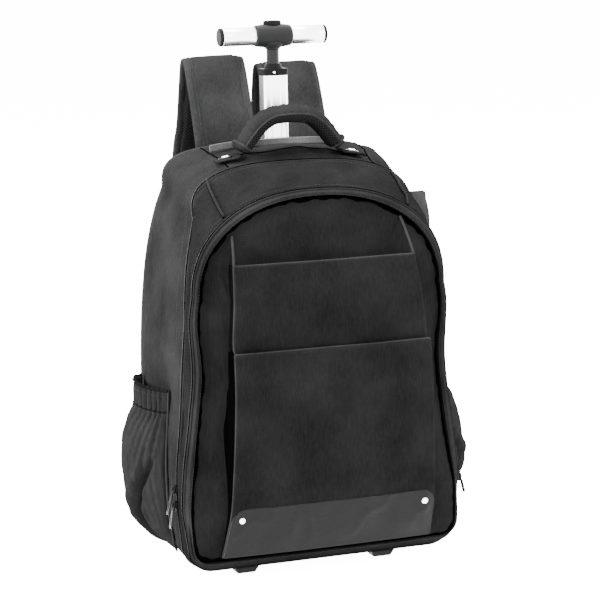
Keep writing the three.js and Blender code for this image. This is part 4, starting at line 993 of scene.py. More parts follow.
@dataclass
class Form:
    """The cloth body's outlines, measured on the frame."""

    floor_gap: float = 14 * MM
    sway: float = 4 * MM
    crown: float = 5 * MM
    ridge: float = 0.38
    sides: int = 56
    arch: int = 60
    pole_y: float = 0.0
    height: float = 0.0
    half: float = 0.0
    depth: float = 0.0
    back: float = 0.0
    loops: dict = field(default_factory=dict)

    def measure(self) -> "Form":
        """Reads the driving sizes off the frame and works the outlines out."""
        pole, pad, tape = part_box("pole_tube"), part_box("back_panel"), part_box("front_zip")
        self.pole_y = (pole[0].y + pole[1].y) / 2
        self.height = pad[1].z / ARCHES["back"][1]
        self.half = pad[1].x / SIDE.data[:, 1].max()
        self.depth = self.pole_y - tape[0].y - 3 * MM
        self.back = pad[0].y - 0.3 * MM
        self.loops = {name: self.outline(name) for name in ARCHES}
        return self

    def half_at(self, name: str, z: np.ndarray | float) -> np.ndarray:
        """An outline's half width at a height."""
        return self.half * SIDE.at(np.asarray(z) / self.height, name)

    def depth_at(self, name: str, z: np.ndarray | float) -> np.ndarray:
        """An outline's place in Y at a height."""
        if name == "back":
            return np.full_like(np.asarray(z, float), self.back)
        return self.pole_y - self.depth * DEPTH.at(np.asarray(z) / self.height, name)

    def outline(self, name: str) -> np.ndarray:
        """One closed outline from the middle of the foot up the right side and down the left."""
        shoulder, crest, power, corner, lift = ARCHES[name]
        foot = self.floor_gap + lift
        top = foot + corner
        side = float(self.half_at(name, top))
        x = [np.linspace(0, side - corner, 24, endpoint=False)]
        z = [np.full(24, foot)]
        angle = np.radians(np.linspace(-90, 0, 10))
        x.append(side - corner + corner * np.cos(angle))
        z.append(top + corner * np.sin(angle))
        shared = 0.62 * self.height
        rise = np.concatenate([np.linspace(top, shared, self.sides)[1:],
                               np.linspace(shared, shoulder * self.height, 15)[1:]])
        x.append(self.half_at(name, rise))
        z.append(rise)
        angle = np.radians(np.linspace(0, 90, self.arch + 1)[1:])
        x.append(self.half_at(name, shoulder * self.height) * np.maximum(np.cos(angle), 0) ** (2 / power))
        z.append(lerp(shoulder, crest, np.sin(angle) ** (2 / power)) * self.height)
        x, z = np.concatenate(x), np.concatenate(z)
        x[-1] = 0
        x, z = np.concatenate([x, -x[-2:0:-1]]), np.concatenate([z, z[-2:0:-1]])
        if name in ("front", "seam"):
            x = x + self.sway * (z / self.height) ** 2
        return np.stack([x, self.depth_at(name, z), z], axis=1)

    @staticmethod
    def outwards(loop: np.ndarray) -> np.ndarray:
        """The direction out of an outline at each of its points, across Y."""
        ahead = np.roll(loop, -1, axis=0) - np.roll(loop, 1, axis=0)
        return unit(np.stack([ahead[:, 2], np.zeros(len(loop)), -ahead[:, 0]], axis=1))

    def offset(self, loop: np.ndarray, distance: float | np.ndarray, shift: float = 0.0) -> np.ndarray:
        """An outline moved outwards by a distance and in Y by a shift."""
        distance = np.broadcast_to(np.asarray(distance, float), (len(loop),))
        return loop + self.outwards(loop) * distance[:, None] - FRONT * shift

    def gusset(self, share: np.ndarray | float) -> np.ndarray:
        """The gusset's outline at shares of the way from the back to the zipper's tape."""
        zip_edge = self.offset(self.loops["zip"], 0, 3.3 * MM)
        share = np.atleast_1d(share)
        rows = []
        for s in share:
            flat = lerp(self.loops["back"], zip_edge, s)
            crown = self.crown * np.clip((flat[:, 2] - self.floor_gap) / (self.height * 0.33), 0, 1)
            swell = math.sin(math.pi * s ** (math.log(0.5) / math.log(self.ridge)))
            rows.append(self.offset(flat, crown * swell))
        return np.array(rows)

    def side_at(self, y: np.ndarray, z: np.ndarray) -> np.ndarray:
        """The gusset's half width at places in Y and heights."""
        shares = np.linspace(0, 1, 12)
        rows = self.gusset(shares)[:, : len(self.loops["back"]) // 2]
        found = np.zeros(np.shape(y))
        for index in np.ndindex(found.shape):
            xs = [np.interp(z[index], row[24:, 2], row[24:, 0]) for row in rows]
            ys = [np.interp(z[index], row[24:, 2], row[24:, 1]) for row in rows]
            found[index] = np.interp(-y[index], -np.array(ys), xs)
        return found

    def roof_at(self, x: np.ndarray, y: np.ndarray) -> np.ndarray:
        """The gusset's height at places in X and Y."""
        middle = len(self.loops["back"]) // 2
        rows = self.gusset(np.linspace(0, 1, 24))[:, middle - self.arch: middle + 1]
        found = np.zeros(np.shape(x))
        for index in np.ndindex(found.shape):
            zs = [np.interp(-abs(x[index]), -row[:, 0], row[:, 2]) for row in rows]
            ys = [np.interp(-abs(x[index]), -row[:, 0], row[:, 1]) for row in rows]
            found[index] = np.interp(-y[index], -np.array(ys), zs)
        return found


# Cloth body


def spline(controls: list[np.ndarray], steps: int) -> np.ndarray:
    """Rows of points on a smooth curve through rows of controls.

    Args:
        controls: arrays of places, all of one length.
        steps: rows between one control and the next.

    Returns:
        The rows, the first and last controls among them.
    """
    c = [2 * controls[0] - controls[1], *controls, 2 * controls[-1] - controls[-2]]
    rows = []
    for k in range(1, len(c) - 2):
        for t in np.arange(steps) / steps:
            rows.append(0.5 * (2 * c[k] + (c[k + 1] - c[k - 1]) * t
                               + (2 * c[k - 1] - 5 * c[k] + 4 * c[k + 1] - c[k + 2]) * t * t
                               + (3 * c[k] - c[k - 1] - 3 * c[k + 1] + c[k + 2]) * t ** 3))
    return np.array([*rows, controls[-1]])


@dataclass
class ZipRun:
    """A concealed zipper round one outline: its tape, coil and lips of cloth."""

    form: Form
    name: str
    loop: str
    gape: float
    finish: Cloth
    tape: float = 6 * MM
    sunk: float = 1.2 * MM
    lip: float = 1.1 * MM
    coil_shift: float = 0.9 * MM

    def build(self) -> None:
        """Makes the zipper's pieces."""
        form, loop = self.form, self.form.loops[self.loop]
        ring = [form.offset(loop, depth, shift) for depth, shift in (
            (-self.sunk, self.tape / 2), (-self.sunk, -self.tape / 2),
            (-self.sunk - MM, -self.tape / 2), (-self.sunk - MM, self.tape / 2))]
        rings = np.array([*ring, ring[0]])
        tape = outward(panel(f"{self.name}_tape", rings, wrap=True))
        place(tape, TAPE_AND_SIDE_SHADE, "zip_tape", self.name)
        out = form.outwards(loop)
        teeth = Row(Bead.COIL, 1.45 * MM, (0.9 * MM, 2.6 * MM, 1.5 * MM), COIL)
        line = form.offset(loop, 0.2 * MM, self.coil_shift)
        place(teeth.along(f"{self.name}_coil", [(line, out, True)]), COIL, "black_plastic")
        # A near-black cord just inside the gap between the lips: painted shade in the zip's gap.
        gap_shadow = form.offset(loop, 0.5 * MM, -self.gape / 2 + 0.3 * MM)
        place(tube(f"{self.name}_slit", gap_shadow, 0.8 * MM, 8, True, outs=out), SHADOW_CLOTH, "zip_tape")
        lips = []
        for side in (-1, 1):
            shift = side * (self.gape / 2 + self.lip)
            lips.append(tube(f"lip{side}", form.offset(loop, -0.7 * MM, shift), self.lip, 8, True, outs=out))
        place(joined(f"{self.name}_lips", *lips), self.finish, "body_cloth")


@dataclass
class ClothBody:
    """The gussets, face, piping and partition."""

    form: Form
    wall: float = 3 * MM
    front_wall: float = 2.5 * MM
    rows: int = 44
    crest: float = 0.45
    piping: float = 5 * MM
    groove: float = 4.5 * MM
    crown: float = 12 * MM
    sag: float = 2.2 * MM
    dart_top: float = 0.93
    dart_foot: float = 0.855
    roof_seams: tuple[int, int] = (20, -28)

    def build(self) -> None:
        """Makes every piece of the cloth body."""
        self.main_gusset()
        ZipRun(self.form, "main_zip", "zip", 4.2 * MM, BODY_CLOTH).build()
        self.front_gusset()
        ZipRun(self.form, "front_zip", "front", 3.4 * MM, BODY_CLOTH).build()
        self.face()
        self.partition()

    def rumple(self, points: np.ndarray, seed: float) -> np.ndarray:
        """How far the gusset's cloth stands out at each point, with soft folds."""
        soft = ripple(points, 58 * MM, seed, (1, 1, 1.5)) * self.sag * 1.25
        fine = ripple(points, 19 * MM, seed + 3, (1, 1, 1.3)) * self.sag * 0.42
        fold = creases(points, 60 * MM, seed + 5, (1, 1, 1.2)) * self.sag * 0.8
        return soft + fine + fold

    def main_gusset(self) -> None:
        """The gusset round the main compartment, with the pole's slot and the wheels' notches."""
        form = self.form
        points = form.gusset(np.linspace(0, 1, self.rows))
        normals = grid_normals(points, wrap=True)
        edge = np.minimum(np.arange(self.rows), self.rows - 1 - np.arange(self.rows)) / self.rows
        ease = smooth(edge, 0.0, 0.16)[:, None]
        under = smooth(points[..., 2], form.floor_gap, form.floor_gap + 30 * MM)
        points = points + normals * (self.rumple(points, 1.0) * ease * under)[..., None]
        seam = bump(np.arange(self.rows), 4.0, 0.8)[:, None] + bump(np.arange(self.rows), self.rows - 4.0,
                                                                    0.8)[:, None]
        points = points - normals * (seam * 0.5 * MM * under)[..., None]
        shell = walled(panel("main_shell_cloth", points, wrap=True), self.wall, 0)
        cutters = [prism("slot", rounded(28.5 * MM, 21.5 * MM, 4 * MM) + [0, form.pole_y],
                         form.height * 0.9, form.height * 1.1)]
        for side in ("left", "right"):
            low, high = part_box(f"wheel_housing_{side}")
            middle, size = (low + high) / 2, high - low + Vector((1, 1, 1)) * MM
            outline = rounded(size.y, size.z, 8 * MM) + [middle.y, middle.z]
            cutters.append(prism(f"notch_{side}", outline, low.x - 0.5 * MM, high.x + 0.5 * MM,
                                 (-FRONT, UP, RIGHT)))
        self.cut(shell, joined("cutters", *cutters))
        place(shell, BODY_CLOTH, "body_cloth", "main_shell")
        lines = [(points[r], normals[r], True) for r in (2, 5, self.rows - 6)]
        place(STITCHES.along("main_shell_stitches", lines), THREAD, "body_cloth")
        self.panel_seams(points, normals)
        back = tube("back_piping", form.offset(form.loops["back"], 0.2 * MM, -1.2 * MM), 2 * MM, 10, True,
                    outs=form.outwards(form.loops["back"]))
        place(back, BINDING, "body_cloth")
        self.slot_welt()

    def panel_seams(self, points: np.ndarray, normals: np.ndarray) -> None:
        """The seams between the gusset's roof and its sides, and the one along the roof's front."""
        middle, seams, stitches = points.shape[1] // 2, [], []
        ends = [middle + shift for shift in self.roof_seams]
        front = self.rows - 15
        runs = [(slice(4, self.rows - 2), ends[0]), (slice(4, self.rows - 2), ends[1]),
                (front, slice(ends[1], ends[0] + 1))]
        for rows, columns in runs:
            path, outs = points[rows, columns], normals[rows, columns]
            seams.append(tube("seam", path + outs * 0.25 * MM, 0.75 * MM, 8, outs=outs))
            aside = unit(np.cross(outs, np.gradient(path, axis=0)))
            stitches.append((path + outs * 0.2 * MM + aside * 2.4 * MM, outs, False))
        place(joined("roof_seams", *seams), SHADOW_CLOTH, "zip_tape")
        place(STITCHES.along("roof_stitches", stitches), THREAD, "body_cloth")

    @staticmethod
    def cut(obj: bpy.types.Object, cutter: bpy.types.Object) -> None:
        """Cuts one body out of another."""
        modifier = obj.modifiers.new("cut", "BOOLEAN")
        modifier.operation, modifier.object, modifier.solver = "DIFFERENCE", cutter, "EXACT"
        baked(obj)
        bpy.data.objects.remove(cutter)

    def slot_welt(self) -> None:
        """The bound edge of the roof's slot."""
        ring = rounded(29.5 * MM, 22.5 * MM, 4.5 * MM, 8)
        x, y = ring[:, 0], ring[:, 1] + self.form.pole_y
        path = np.stack([x, y, self.form.roof_at(x, y) + 0.4 * MM], axis=1)
        place(tube("slot_welt", path, 1.5 * MM, 8, True, outs=np.tile(UP, (len(path), 1))), WEBBING,
              "webbing")

    def front_gusset(self) -> None:
        """The gusset round the front compartment, with the slanted panel at its top."""
        form = self.form
        near = form.offset(form.loops["zip"], 0, -3.3 * MM)
        far = form.offset(form.loops["front"], 0, 3.3 * MM)
        shares = np.linspace(0, 1, 30)[:, None, None]
        points = near + (far - near) * shares
        normals = grid_normals(points, wrap=True)
        swell = np.sin(math.pi * shares) * smooth(points[..., 2:], form.height * 0.3,
                                                  form.height * 0.8) * 2.5 * MM
        rows = np.arange(30)
        ease = smooth(np.minimum(rows, 29 - rows) / 30, 0, 0.15)[:, None]
        under = smooth(points[..., 2], form.floor_gap, form.floor_gap + 40 * MM)
        fold = self.rumple(points, 11.0) * ease * under * 0.9
        points = points + normals * (fold[..., None] + swell)
        gusset = walled(panel("front_gusset_cloth", points, wrap=True), self.front_wall, 0)
        place(gusset, FACE_CLOTH, "face_cloth", "front_gusset")
        place(STITCHES.along("front_gusset_stitches", [(points[r], normals[r], True) for r in (3, 27)]),
              THREAD, "face_cloth")
        self.darts(points, normals)

    def darts(self, points: np.ndarray, normals: np.ndarray) -> None:
        """The seams that run aslant over the front gusset at both shoulders."""
        form, count = self.form, points.shape[1]
        seams, ridges, stitches = [], [], []
        for side in (-1, 1):
            columns = np.arange(count // 2, count // 2 - side * 120, -side)
            path, outs = [], []
            for row in range(2, 29):
                z = lerp(self.dart_top, self.dart_foot, row / 28) * form.height
                line = points[row, columns]
                at = float(np.interp(-z, -line[:, 2], np.arange(len(columns))))
                low = int(at)
                path.append(lerp(line[low], line[low + 1], at - low))
                outs.append(normals[row, columns[low]])
            path, outs = np.array(path), np.array(outs)
            # The near-black seam line is painted shade in the dart's groove; the ridge above it, in the
            # lighter body cloth, is a painted highlight.
            seams.append(tube(f"dart{side}", path + outs * 0.5 * MM, 1.0 * MM, 8))
            ridges.append(tube(f"ridge{side}", path + outs * 0.3 * MM + UP * 2.0 * MM, 1.3 * MM, 8))
            stitches.append((path + outs * 0.15 * MM + UP * 4.5 * MM, outs, False))
        place(joined("dart_seams", *seams), SHADOW_CLOTH, "zip_tape")
        place(joined("dart_ridges", *ridges), BODY_CLOTH, "body_cloth")
        place(STITCHES.along("dart_stitches", stitches), THREAD, "face_cloth")

    def face_depth(self, x: np.ndarray, z: np.ndarray) -> np.ndarray:
        """The face's place in Y in front of places in X and Z."""
        form = self.form
        seam = form.loops["seam"]
        mx, mz = form.sway / 2, form.height * 0.49
        angle = np.unwrap(np.arctan2(seam[:, 2] - mz, seam[:, 0] - mx))
        reach = np.hypot(seam[:, 0] - mx, seam[:, 2] - mz)
        at = np.arctan2(z - mz, x - mx)
        at = angle[0] + np.mod(at - angle[0], 2 * math.pi)
        share = np.clip(np.hypot(x - mx, z - mz) / np.interp(at, angle, reach), 0, 1)
        return form.depth_at("seam", z) - self.crown * (1 - share ** 3)

    def face(self) -> None:
        """The face and the rounded piping round it."""
        form = self.form
        front, seam = form.loops["front"], form.loops["seam"]
        edge = form.offset(front, 0, -3.3 * MM)
        crest = form.offset(lerp(front, seam, self.crest), 0, -self.piping)
        shoulder = lerp(front, crest, 0.75)
        inner = form.offset(lerp(front, seam, 0.78), 0, -self.piping * 0.55)
        groove = form.offset(seam, 0.9 * MM, self.groove)
        mx, mz = form.sway / 2, form.height * 0.49

        def ring(share: float) -> np.ndarray:
            x = lerp(mx, seam[:, 0], share)
            z = lerp(mz, seam[:, 2], share)
            y = form.depth_at("seam", z) - self.crown * (1 - share ** 3)
            return np.stack([x, y, z], axis=1)

        piping = spline([edge, shoulder, crest, inner, groove], 5)
        shares = np.concatenate([[0.992], np.linspace(0.975, 0.2, 44)])
        face = np.array([*piping, *[ring(s) for s in shares]])
        normals = grid_normals(face, wrap=True)
        ease = smooth(np.arange(len(face)), len(piping) + 1, len(piping) + 9)[:, None]
        fold = (ripple(face, 50 * MM, 21.0, (1, 1, 2.2)) * 2.4 * MM
                + ripple(face, 18 * MM, 23.0, (1, 1, 1.6)) * 0.6 * MM
                + creases(face, 60 * MM, 25.0, (1, 1, 1.6)) * 1.2 * MM)
        face = face + normals * (fold * ease)[..., None]
        obj = panel("front_face_cloth", face, wrap=True)
        mesh = bmesh.new()
        mesh.from_mesh(obj.data)
        bmesh.ops.holes_fill(mesh, edges=[e for e in mesh.edges if e.is_boundary and all(
            abs(v.co.x - mx) < form.half * 0.4 and abs(v.co.z - mz) < form.height * 0.3 for v in e.verts)])
        mesh.to_mesh(obj.data)
        mesh.free()
        walled(obj, self.front_wall, 0)
        place(obj, FACE_CLOTH, "face_cloth", "front_face")
        bed = slice(len(piping) - 4, len(piping) + 2)
        around = grid_normals(face, wrap=True)
        shadow = face[bed] + around[bed] * 0.5 * MM
        wander = (0.5 + ripple(seam, 13 * MM, 27.0) * 0.9)[:, None]
        shadow[-1] = lerp(shadow[-2], shadow[-1], np.clip(wander, 0.05, 1))
        shadow[0] = lerp(shadow[1], shadow[0], np.clip(wander[::-1] * 0.8, 0.05, 1))
        floor = panel("piping_groove", shadow, wrap=True)
        place(walled(floor, 0.4 * MM, 0), SHADOW_CLOTH, "zip_tape")
        # A thin sheet of the lighter body cloth over the piping's round: a painted highlight on the piping.
        cover = slice(3, len(piping) - 5)
        welt = panel("piping_cover", face[cover] + around[cover] * 0.6 * MM, wrap=True)
        place(walled(welt, 0.5 * MM, 0), BODY_CLOTH, "body_cloth")
        row = len(piping) - 7
        place(STITCHES.along("piping_stitches", [(face[row] + around[row] * 0.7 * MM, around[row], True)]),
              THREAD, "face_cloth")

    def partition(self) -> None:
        """The cloth between the two compartments."""
        form = self.form
        rim = form.offset(form.loops["zip"], -self.wall - 0.3 * MM)
        middle = np.array([0, float(form.depth_at("zip", form.height / 2)), form.height / 2])
        rings = []
        for share in np.linspace(1, 0.05, 14):
            ring = lerp(middle, rim, share)
            ring[:, 1] = lerp(middle[1], rim[:, 1], share * share)
            rings.append(ring)
        sheet = panel("partition_cloth", np.array(rings), wrap=True)
        place(walled(sheet, 1.5 * MM, 0), BODY_CLOTH, "body_cloth", "partition")


# The face's panel: slot pockets, bindings and guard

LOWER_POCKET = Table("height depth half sway", [
    (0, 1.15, 0.9725, -0.0195),
    (0.08, 1.19, 0.9625, -0.0075),
    (0.22, 1.238, 0.9475, 0.0175),
    (0.42, 1.28, 0.9325, 0.0225),
    (0.65, 1.296, 0.9175, 0.0275),
    (0.84, 1.286, 0.9075, 0.0325),
    (1, 1.262, 0.9025, 0.0325),
])
UPPER_POCKET = Table("height depth half sway", [
    (0, 1.2, 0.8425, 0.0325),
    (0.24, 1.204, 0.8725, 0.0325),
    (0.3, 1.206, 0.8905, 0.0305),
    (0.65, 1.21, 0.8625, 0.0175),
    (1, 1.168, 0.8325, 0.0025),
])


@dataclass
class SlotPocket:
    """A pocket with an open top: its front, its folded sides, its bindings and its hem."""

    body: ClothBody
    name: str
    shape: Table
    half: float = 118 * MM
    swell: float = 3 * MM
    wall: float = 2.2 * MM
    columns: int = 90
    rows: int = 70
    seed: float = 31.0
    # How far the painted shadow beside the left side reaches over the face; zero gives none.
    painted_shadow_reach: float = 4 * MM
    foot: float = 0.0
    height: float = 0.0

    def __post_init__(self) -> None:
        """Reads the pocket's foot and height off the frame."""
        low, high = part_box(self.name)
        self.foot, self.height = low.z, high.z - low.z

    def front(self, across: np.ndarray, z: np.ndarray) -> np.ndarray:
        """Places on the pocket's front."""
        form = self.body.form
        share = (z - self.foot) / self.height
        half = self.half * self.shape.at(share, "half")
        x = self.half * self.shape.at(share, "sway") + across * half
        y = form.pole_y - form.depth * self.shape.at(share, "depth") - self.swell * (1 - across ** 2)
        return np.stack(np.broadcast_arrays(x, y, z), axis=-1)

    def skin(self, across: np.ndarray, z: np.ndarray) -> np.ndarray:
        """Places on the front with its soft folds."""
        flat = self.front(across, z)
        ease = smooth(1 - np.abs(across), 0, 0.1) * smooth((z - self.foot) / self.height, 0, 0.1)
        fold = (ripple(flat, 60 * MM, self.seed, (1, 1, 1.7)) * 2.4 * MM
                + ripple(flat, 22 * MM, self.seed + 1, (1, 1, 2.5)) * 0.6 * MM
                + creases(flat, 70 * MM, self.seed + 2, (1, 1, 1.3)) * 0.9 * MM)
        return flat + FRONT * (fold * ease)[..., None]

    def build(self) -> None:
        """Makes the pocket's pieces."""
        across, z = np.meshgrid(np.linspace(-1, 1, self.columns),
                                np.linspace(self.foot, self.foot + self.height, self.rows))
        points = self.skin(across, z)
        front = panel(f"{self.name}_front", points, flip=True)
        place(walled(front, self.wall, 0), FACE_CLOTH, "face_cloth", self.name)
        self.sides(points)
        self.edges(points)

    def sides(self, points: np.ndarray) -> None:
        """The cloth that folds back from the front to the face, at both sides and the foot, coloured dark as
        painted shade, with a painted shadow laid on the face beside the left side.
        """
        line = np.concatenate([points[::-1, 0], points[0, 1:-1], points[:, -1]])
        face = self.body.face_depth(line[:, 0], line[:, 2])
        rows = []
        for share in np.linspace(0, 1, 9):
            row = line.copy()
            row[:, 1] = lerp(line[:, 1] + 0.8 * MM, face - 1.2 * MM, share)
            pinch = math.sin(math.pi * share) * 2.2 * MM
            row[:, 0] -= np.sign(line[:, 0]) * pinch
            rows.append(row)
        # Rows laid flat on the face beside the left side, widest at 0.62 of the height: a sheet of painted
        # shadow.
        share = (line[:, 2] - self.foot) / self.height
        reach = self.painted_shadow_reach * bump(share, 0.62, 0.2) * (line[:, 0] < 0)
        for step in (0.35, 0.7, 1.0):
            row = rows[8].copy()
            row[:, 0] += np.sign(line[:, 0]) * reach * step
            row[:, 1] = self.body.face_depth(row[:, 0], row[:, 2]) - lerp(1.6, 0.5, step) * MM
            rows.append(row)
        fold = panel(f"{self.name}_sides", np.array(rows), flip=True)
        # Both colours are painted shade: near black where the painted shadow is laid, the tape's dark colour
        # otherwise.
        place(walled(fold, 1.4 * MM, 0), SHADOW_CLOTH if self.painted_shadow_reach else TAPE_AND_SIDE_SHADE, "zip_tape")

    def edges(self, points: np.ndarray) -> None:
        """The bindings down both sides, the hem at the mouth and their stitches."""
        out = np.tile(FRONT, (self.rows, 1))
        left, right, top = points[:, 0], points[:, -1], points[-1]
        binding = [tube(f"edge{k}", line + [0, 0.4 * MM, 0], 1.3 * MM, 8, outs=out)
                   for k, line in enumerate((left, right))]
        hem = tube("hem", top + [0, 0.6 * MM, 0.2 * MM], 1.4 * MM, 8, outs=np.tile(FRONT, (self.columns, 1)))
        place(joined(f"{self.name}_binding", *binding, hem), BINDING, "body_cloth")
        inset = 2
        lines = [(points[:, inset] + FRONT * 0.2 * MM, FRONT, False),
                 (points[:, -1 - inset] + FRONT * 0.2 * MM, FRONT, False),
                 (points[-1 - 3] + FRONT * 0.2 * MM, FRONT, False)]
        place(STITCHES.along(f"{self.name}_stitches", lines), THREAD, "face_cloth")


@dataclass
class PanelBinding:
    """The light bindings of the face's middle panel above the upper pocket."""

    body: ClothBody
    pocket: SlotPocket
    top: float = 0.815

    def build(self) -> None:
        """Makes one binding on each side."""
        form, pocket = self.body.form, self.pocket
        start = pocket.front(np.array([-1.0, 1.0]), np.full(2, pocket.foot + pocket.height))
        runs = []
        for side, low in zip((-1, 1), start):
            z = np.linspace(low[2], form.height * (self.top if side < 0 else self.top + 0.02), 24)
            lean = (4.5 if side < 0 else -7.0) * MM
            share = np.linspace(0, 1, 24)
            x = low[0] + lean * share
            y = lerp(low[1], self.body.face_depth(x, z) - 1.0 * MM, share)
            runs.append(tube(f"run{side}", np.stack([x, y, z], axis=1), 1.4 * MM, 8,
                             outs=np.tile(FRONT, (24, 1))))
        place(joined("panel_binding", *runs), BINDING, "body_cloth")


@dataclass
class LeatherGuard:
    """The leatherette along the face's foot, its stitched border and its two rivets."""

    pocket: SlotPocket
    corner: float = 15 * MM
    wall: float = 1.4 * MM
    border: float = 2.6 * MM
    rivet: float = 4.6 * MM
    rivet_inset: float = 12 * MM

    def trimmed(self, z: np.ndarray, top: float, inset: float) -> np.ndarray:
        """The share of the half width that the guard reaches at a height."""
        corner = self.corner - inset
        rise = np.clip(z - (top - self.corner), 0, corner)
        return 1 - (inset + corner - np.sqrt(corner ** 2 - rise ** 2)) / self.pocket.half

    def surface(self, across: np.ndarray, z: np.ndarray, lift: float) -> np.ndarray:
        """Places on the guard."""
        return self.pocket.skin(across, z) + FRONT * (0.5 * MM + lift)

    def build(self) -> None:
        """Makes the guard, its welt, stitches and rivets."""
        low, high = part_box("leather_guard")
        levels = np.concatenate([np.linspace(0, 0.68, 22),
                                 0.7 + 0.3 * np.sin(np.linspace(0, math.pi / 2, 14))])
        z = lerp(low.z, high.z, levels)[:, None]
        across = np.linspace(-1, 1, 90)[None, :] * self.trimmed(z, high.z, 0)
        z = np.broadcast_to(z, across.shape)
        grain = ripple(self.pocket.front(across, z), 40 * MM, 41.0) * 0.25 * MM
        points = self.surface(across, z, self.wall) + FRONT * grain[..., None]
        guard = walled(panel("guard_leather", points, flip=True), self.wall, 0)
        place(bevelled(guard, 0.4 * MM, 2), LEATHERETTE, "leatherette", "leather_guard")
        outline = self.rim(low.z, high.z, 0.6 * MM, self.wall)
        welt = tube("guard_welt", outline, 0.75 * MM, 8)
        place(welt, LEATHER_EDGE, "leatherette")
        seam = self.rim(low.z, high.z, self.border, self.wall + 0.1 * MM)
        place(STITCHES.along("guard_stitches", [(seam, FRONT, False)]), THREAD, "leatherette")
        for side, sign in (("left", -1), ("right", 1)):
            self.stud(side, sign, high.z - self.rivet_inset)

    def rim(self, low: float, high: float, inset: float, lift: float) -> np.ndarray:
        """The guard's border a little inside its edge, up one side, over and down the other."""
        corner = self.corner - inset
        turn = np.linspace(0, math.pi / 2, 12)
        z = np.concatenate([np.linspace(low, high - self.corner, 20)[:-1],
                            high - self.corner + corner * np.sin(turn)])
        across = self.trimmed(z, high, inset)
        across = np.concatenate([-across, np.linspace(-across[-1], across[-1], 60)[1:-1], across[::-1]])
        z = np.concatenate([z, np.full(58, z[-1]), z[::-1]])
        return self.surface(across, z, lift)

    def stud(self, side: str, sign: int, z: float) -> None:
        """One rivet: a domed cap in a thin rolled rim."""
        across = sign * (1 - self.rivet_inset / self.pocket.half)
        spots = self.surface(np.array([across, across + 0.02, across]), np.array([z, z, z + 3 * MM]),
                             self.wall)
        axis = unit(np.cross(spots[1] - spots[0], spots[2] - spots[0]))
        axis = axis if axis[1] < 0 else -axis
        r = self.rivet
        profile = [(0, 0), (r, 0), (r, 0.5 * MM), (r * 0.93, 0.9 * MM), (r * 0.84, 0.85 * MM),
                   (r * 0.76, 1.0 * MM),
                   (r * 0.55, 1.6 * MM), (r * 0.3, 1.95 * MM), (0, 2.05 * MM)]
        cap = turned_on(f"rivet_cap_{side}", profile, spots[0] + axis * 0.15 * MM, axis)
        place(cap, CHROME, "chrome_trim", f"rivet_{side}")


def turned_on(name: str, profile: list[tuple[float, float]], centre: np.ndarray, axis: np.ndarray,
              segments: int = 40) -> bpy.types.Object:
    """A turned body on any axis."""
    side = unit(np.cross(axis, UP if abs(axis[2]) < 0.9 else RIGHT))
    other = np.cross(axis, side)
    angle = np.arange(segments) * 2 * math.pi / segments
    round_ = side * np.cos(angle)[:, None] + other * np.sin(angle)[:, None]
    rings = np.array([centre + axis * h + round_ * max(r, 1e-6) for r, h in profile])
    return closed_rings(name, rings)


# Side pockets

SIDE_POCKET = Table("height bulge gather", [
    (0, 0, 0),
    (0.08, 0.42, 0.1),
    (0.2, 0.78, 0.25),
    (0.4, 1, 0.35),
    (0.6, 0.97, 0.45),
    (0.76, 0.72, 0.7),
    (0.87, 0.44, 1),
    (0.94, 0.45, 1),
    (1, 0.42, 0.8),
])
# The left pocket's deep fold: its height as a share of the pocket's and its place along it from the front.
POCKET_FOLD = Table("height along depth", [
    (0.0, 0.42, 0.5),
    (0.22, 0.3, 1),
    (0.38, 0.22, 1),
    (0.5, 0.12, 0.6),
    (0.6, 0.05, 0),
])


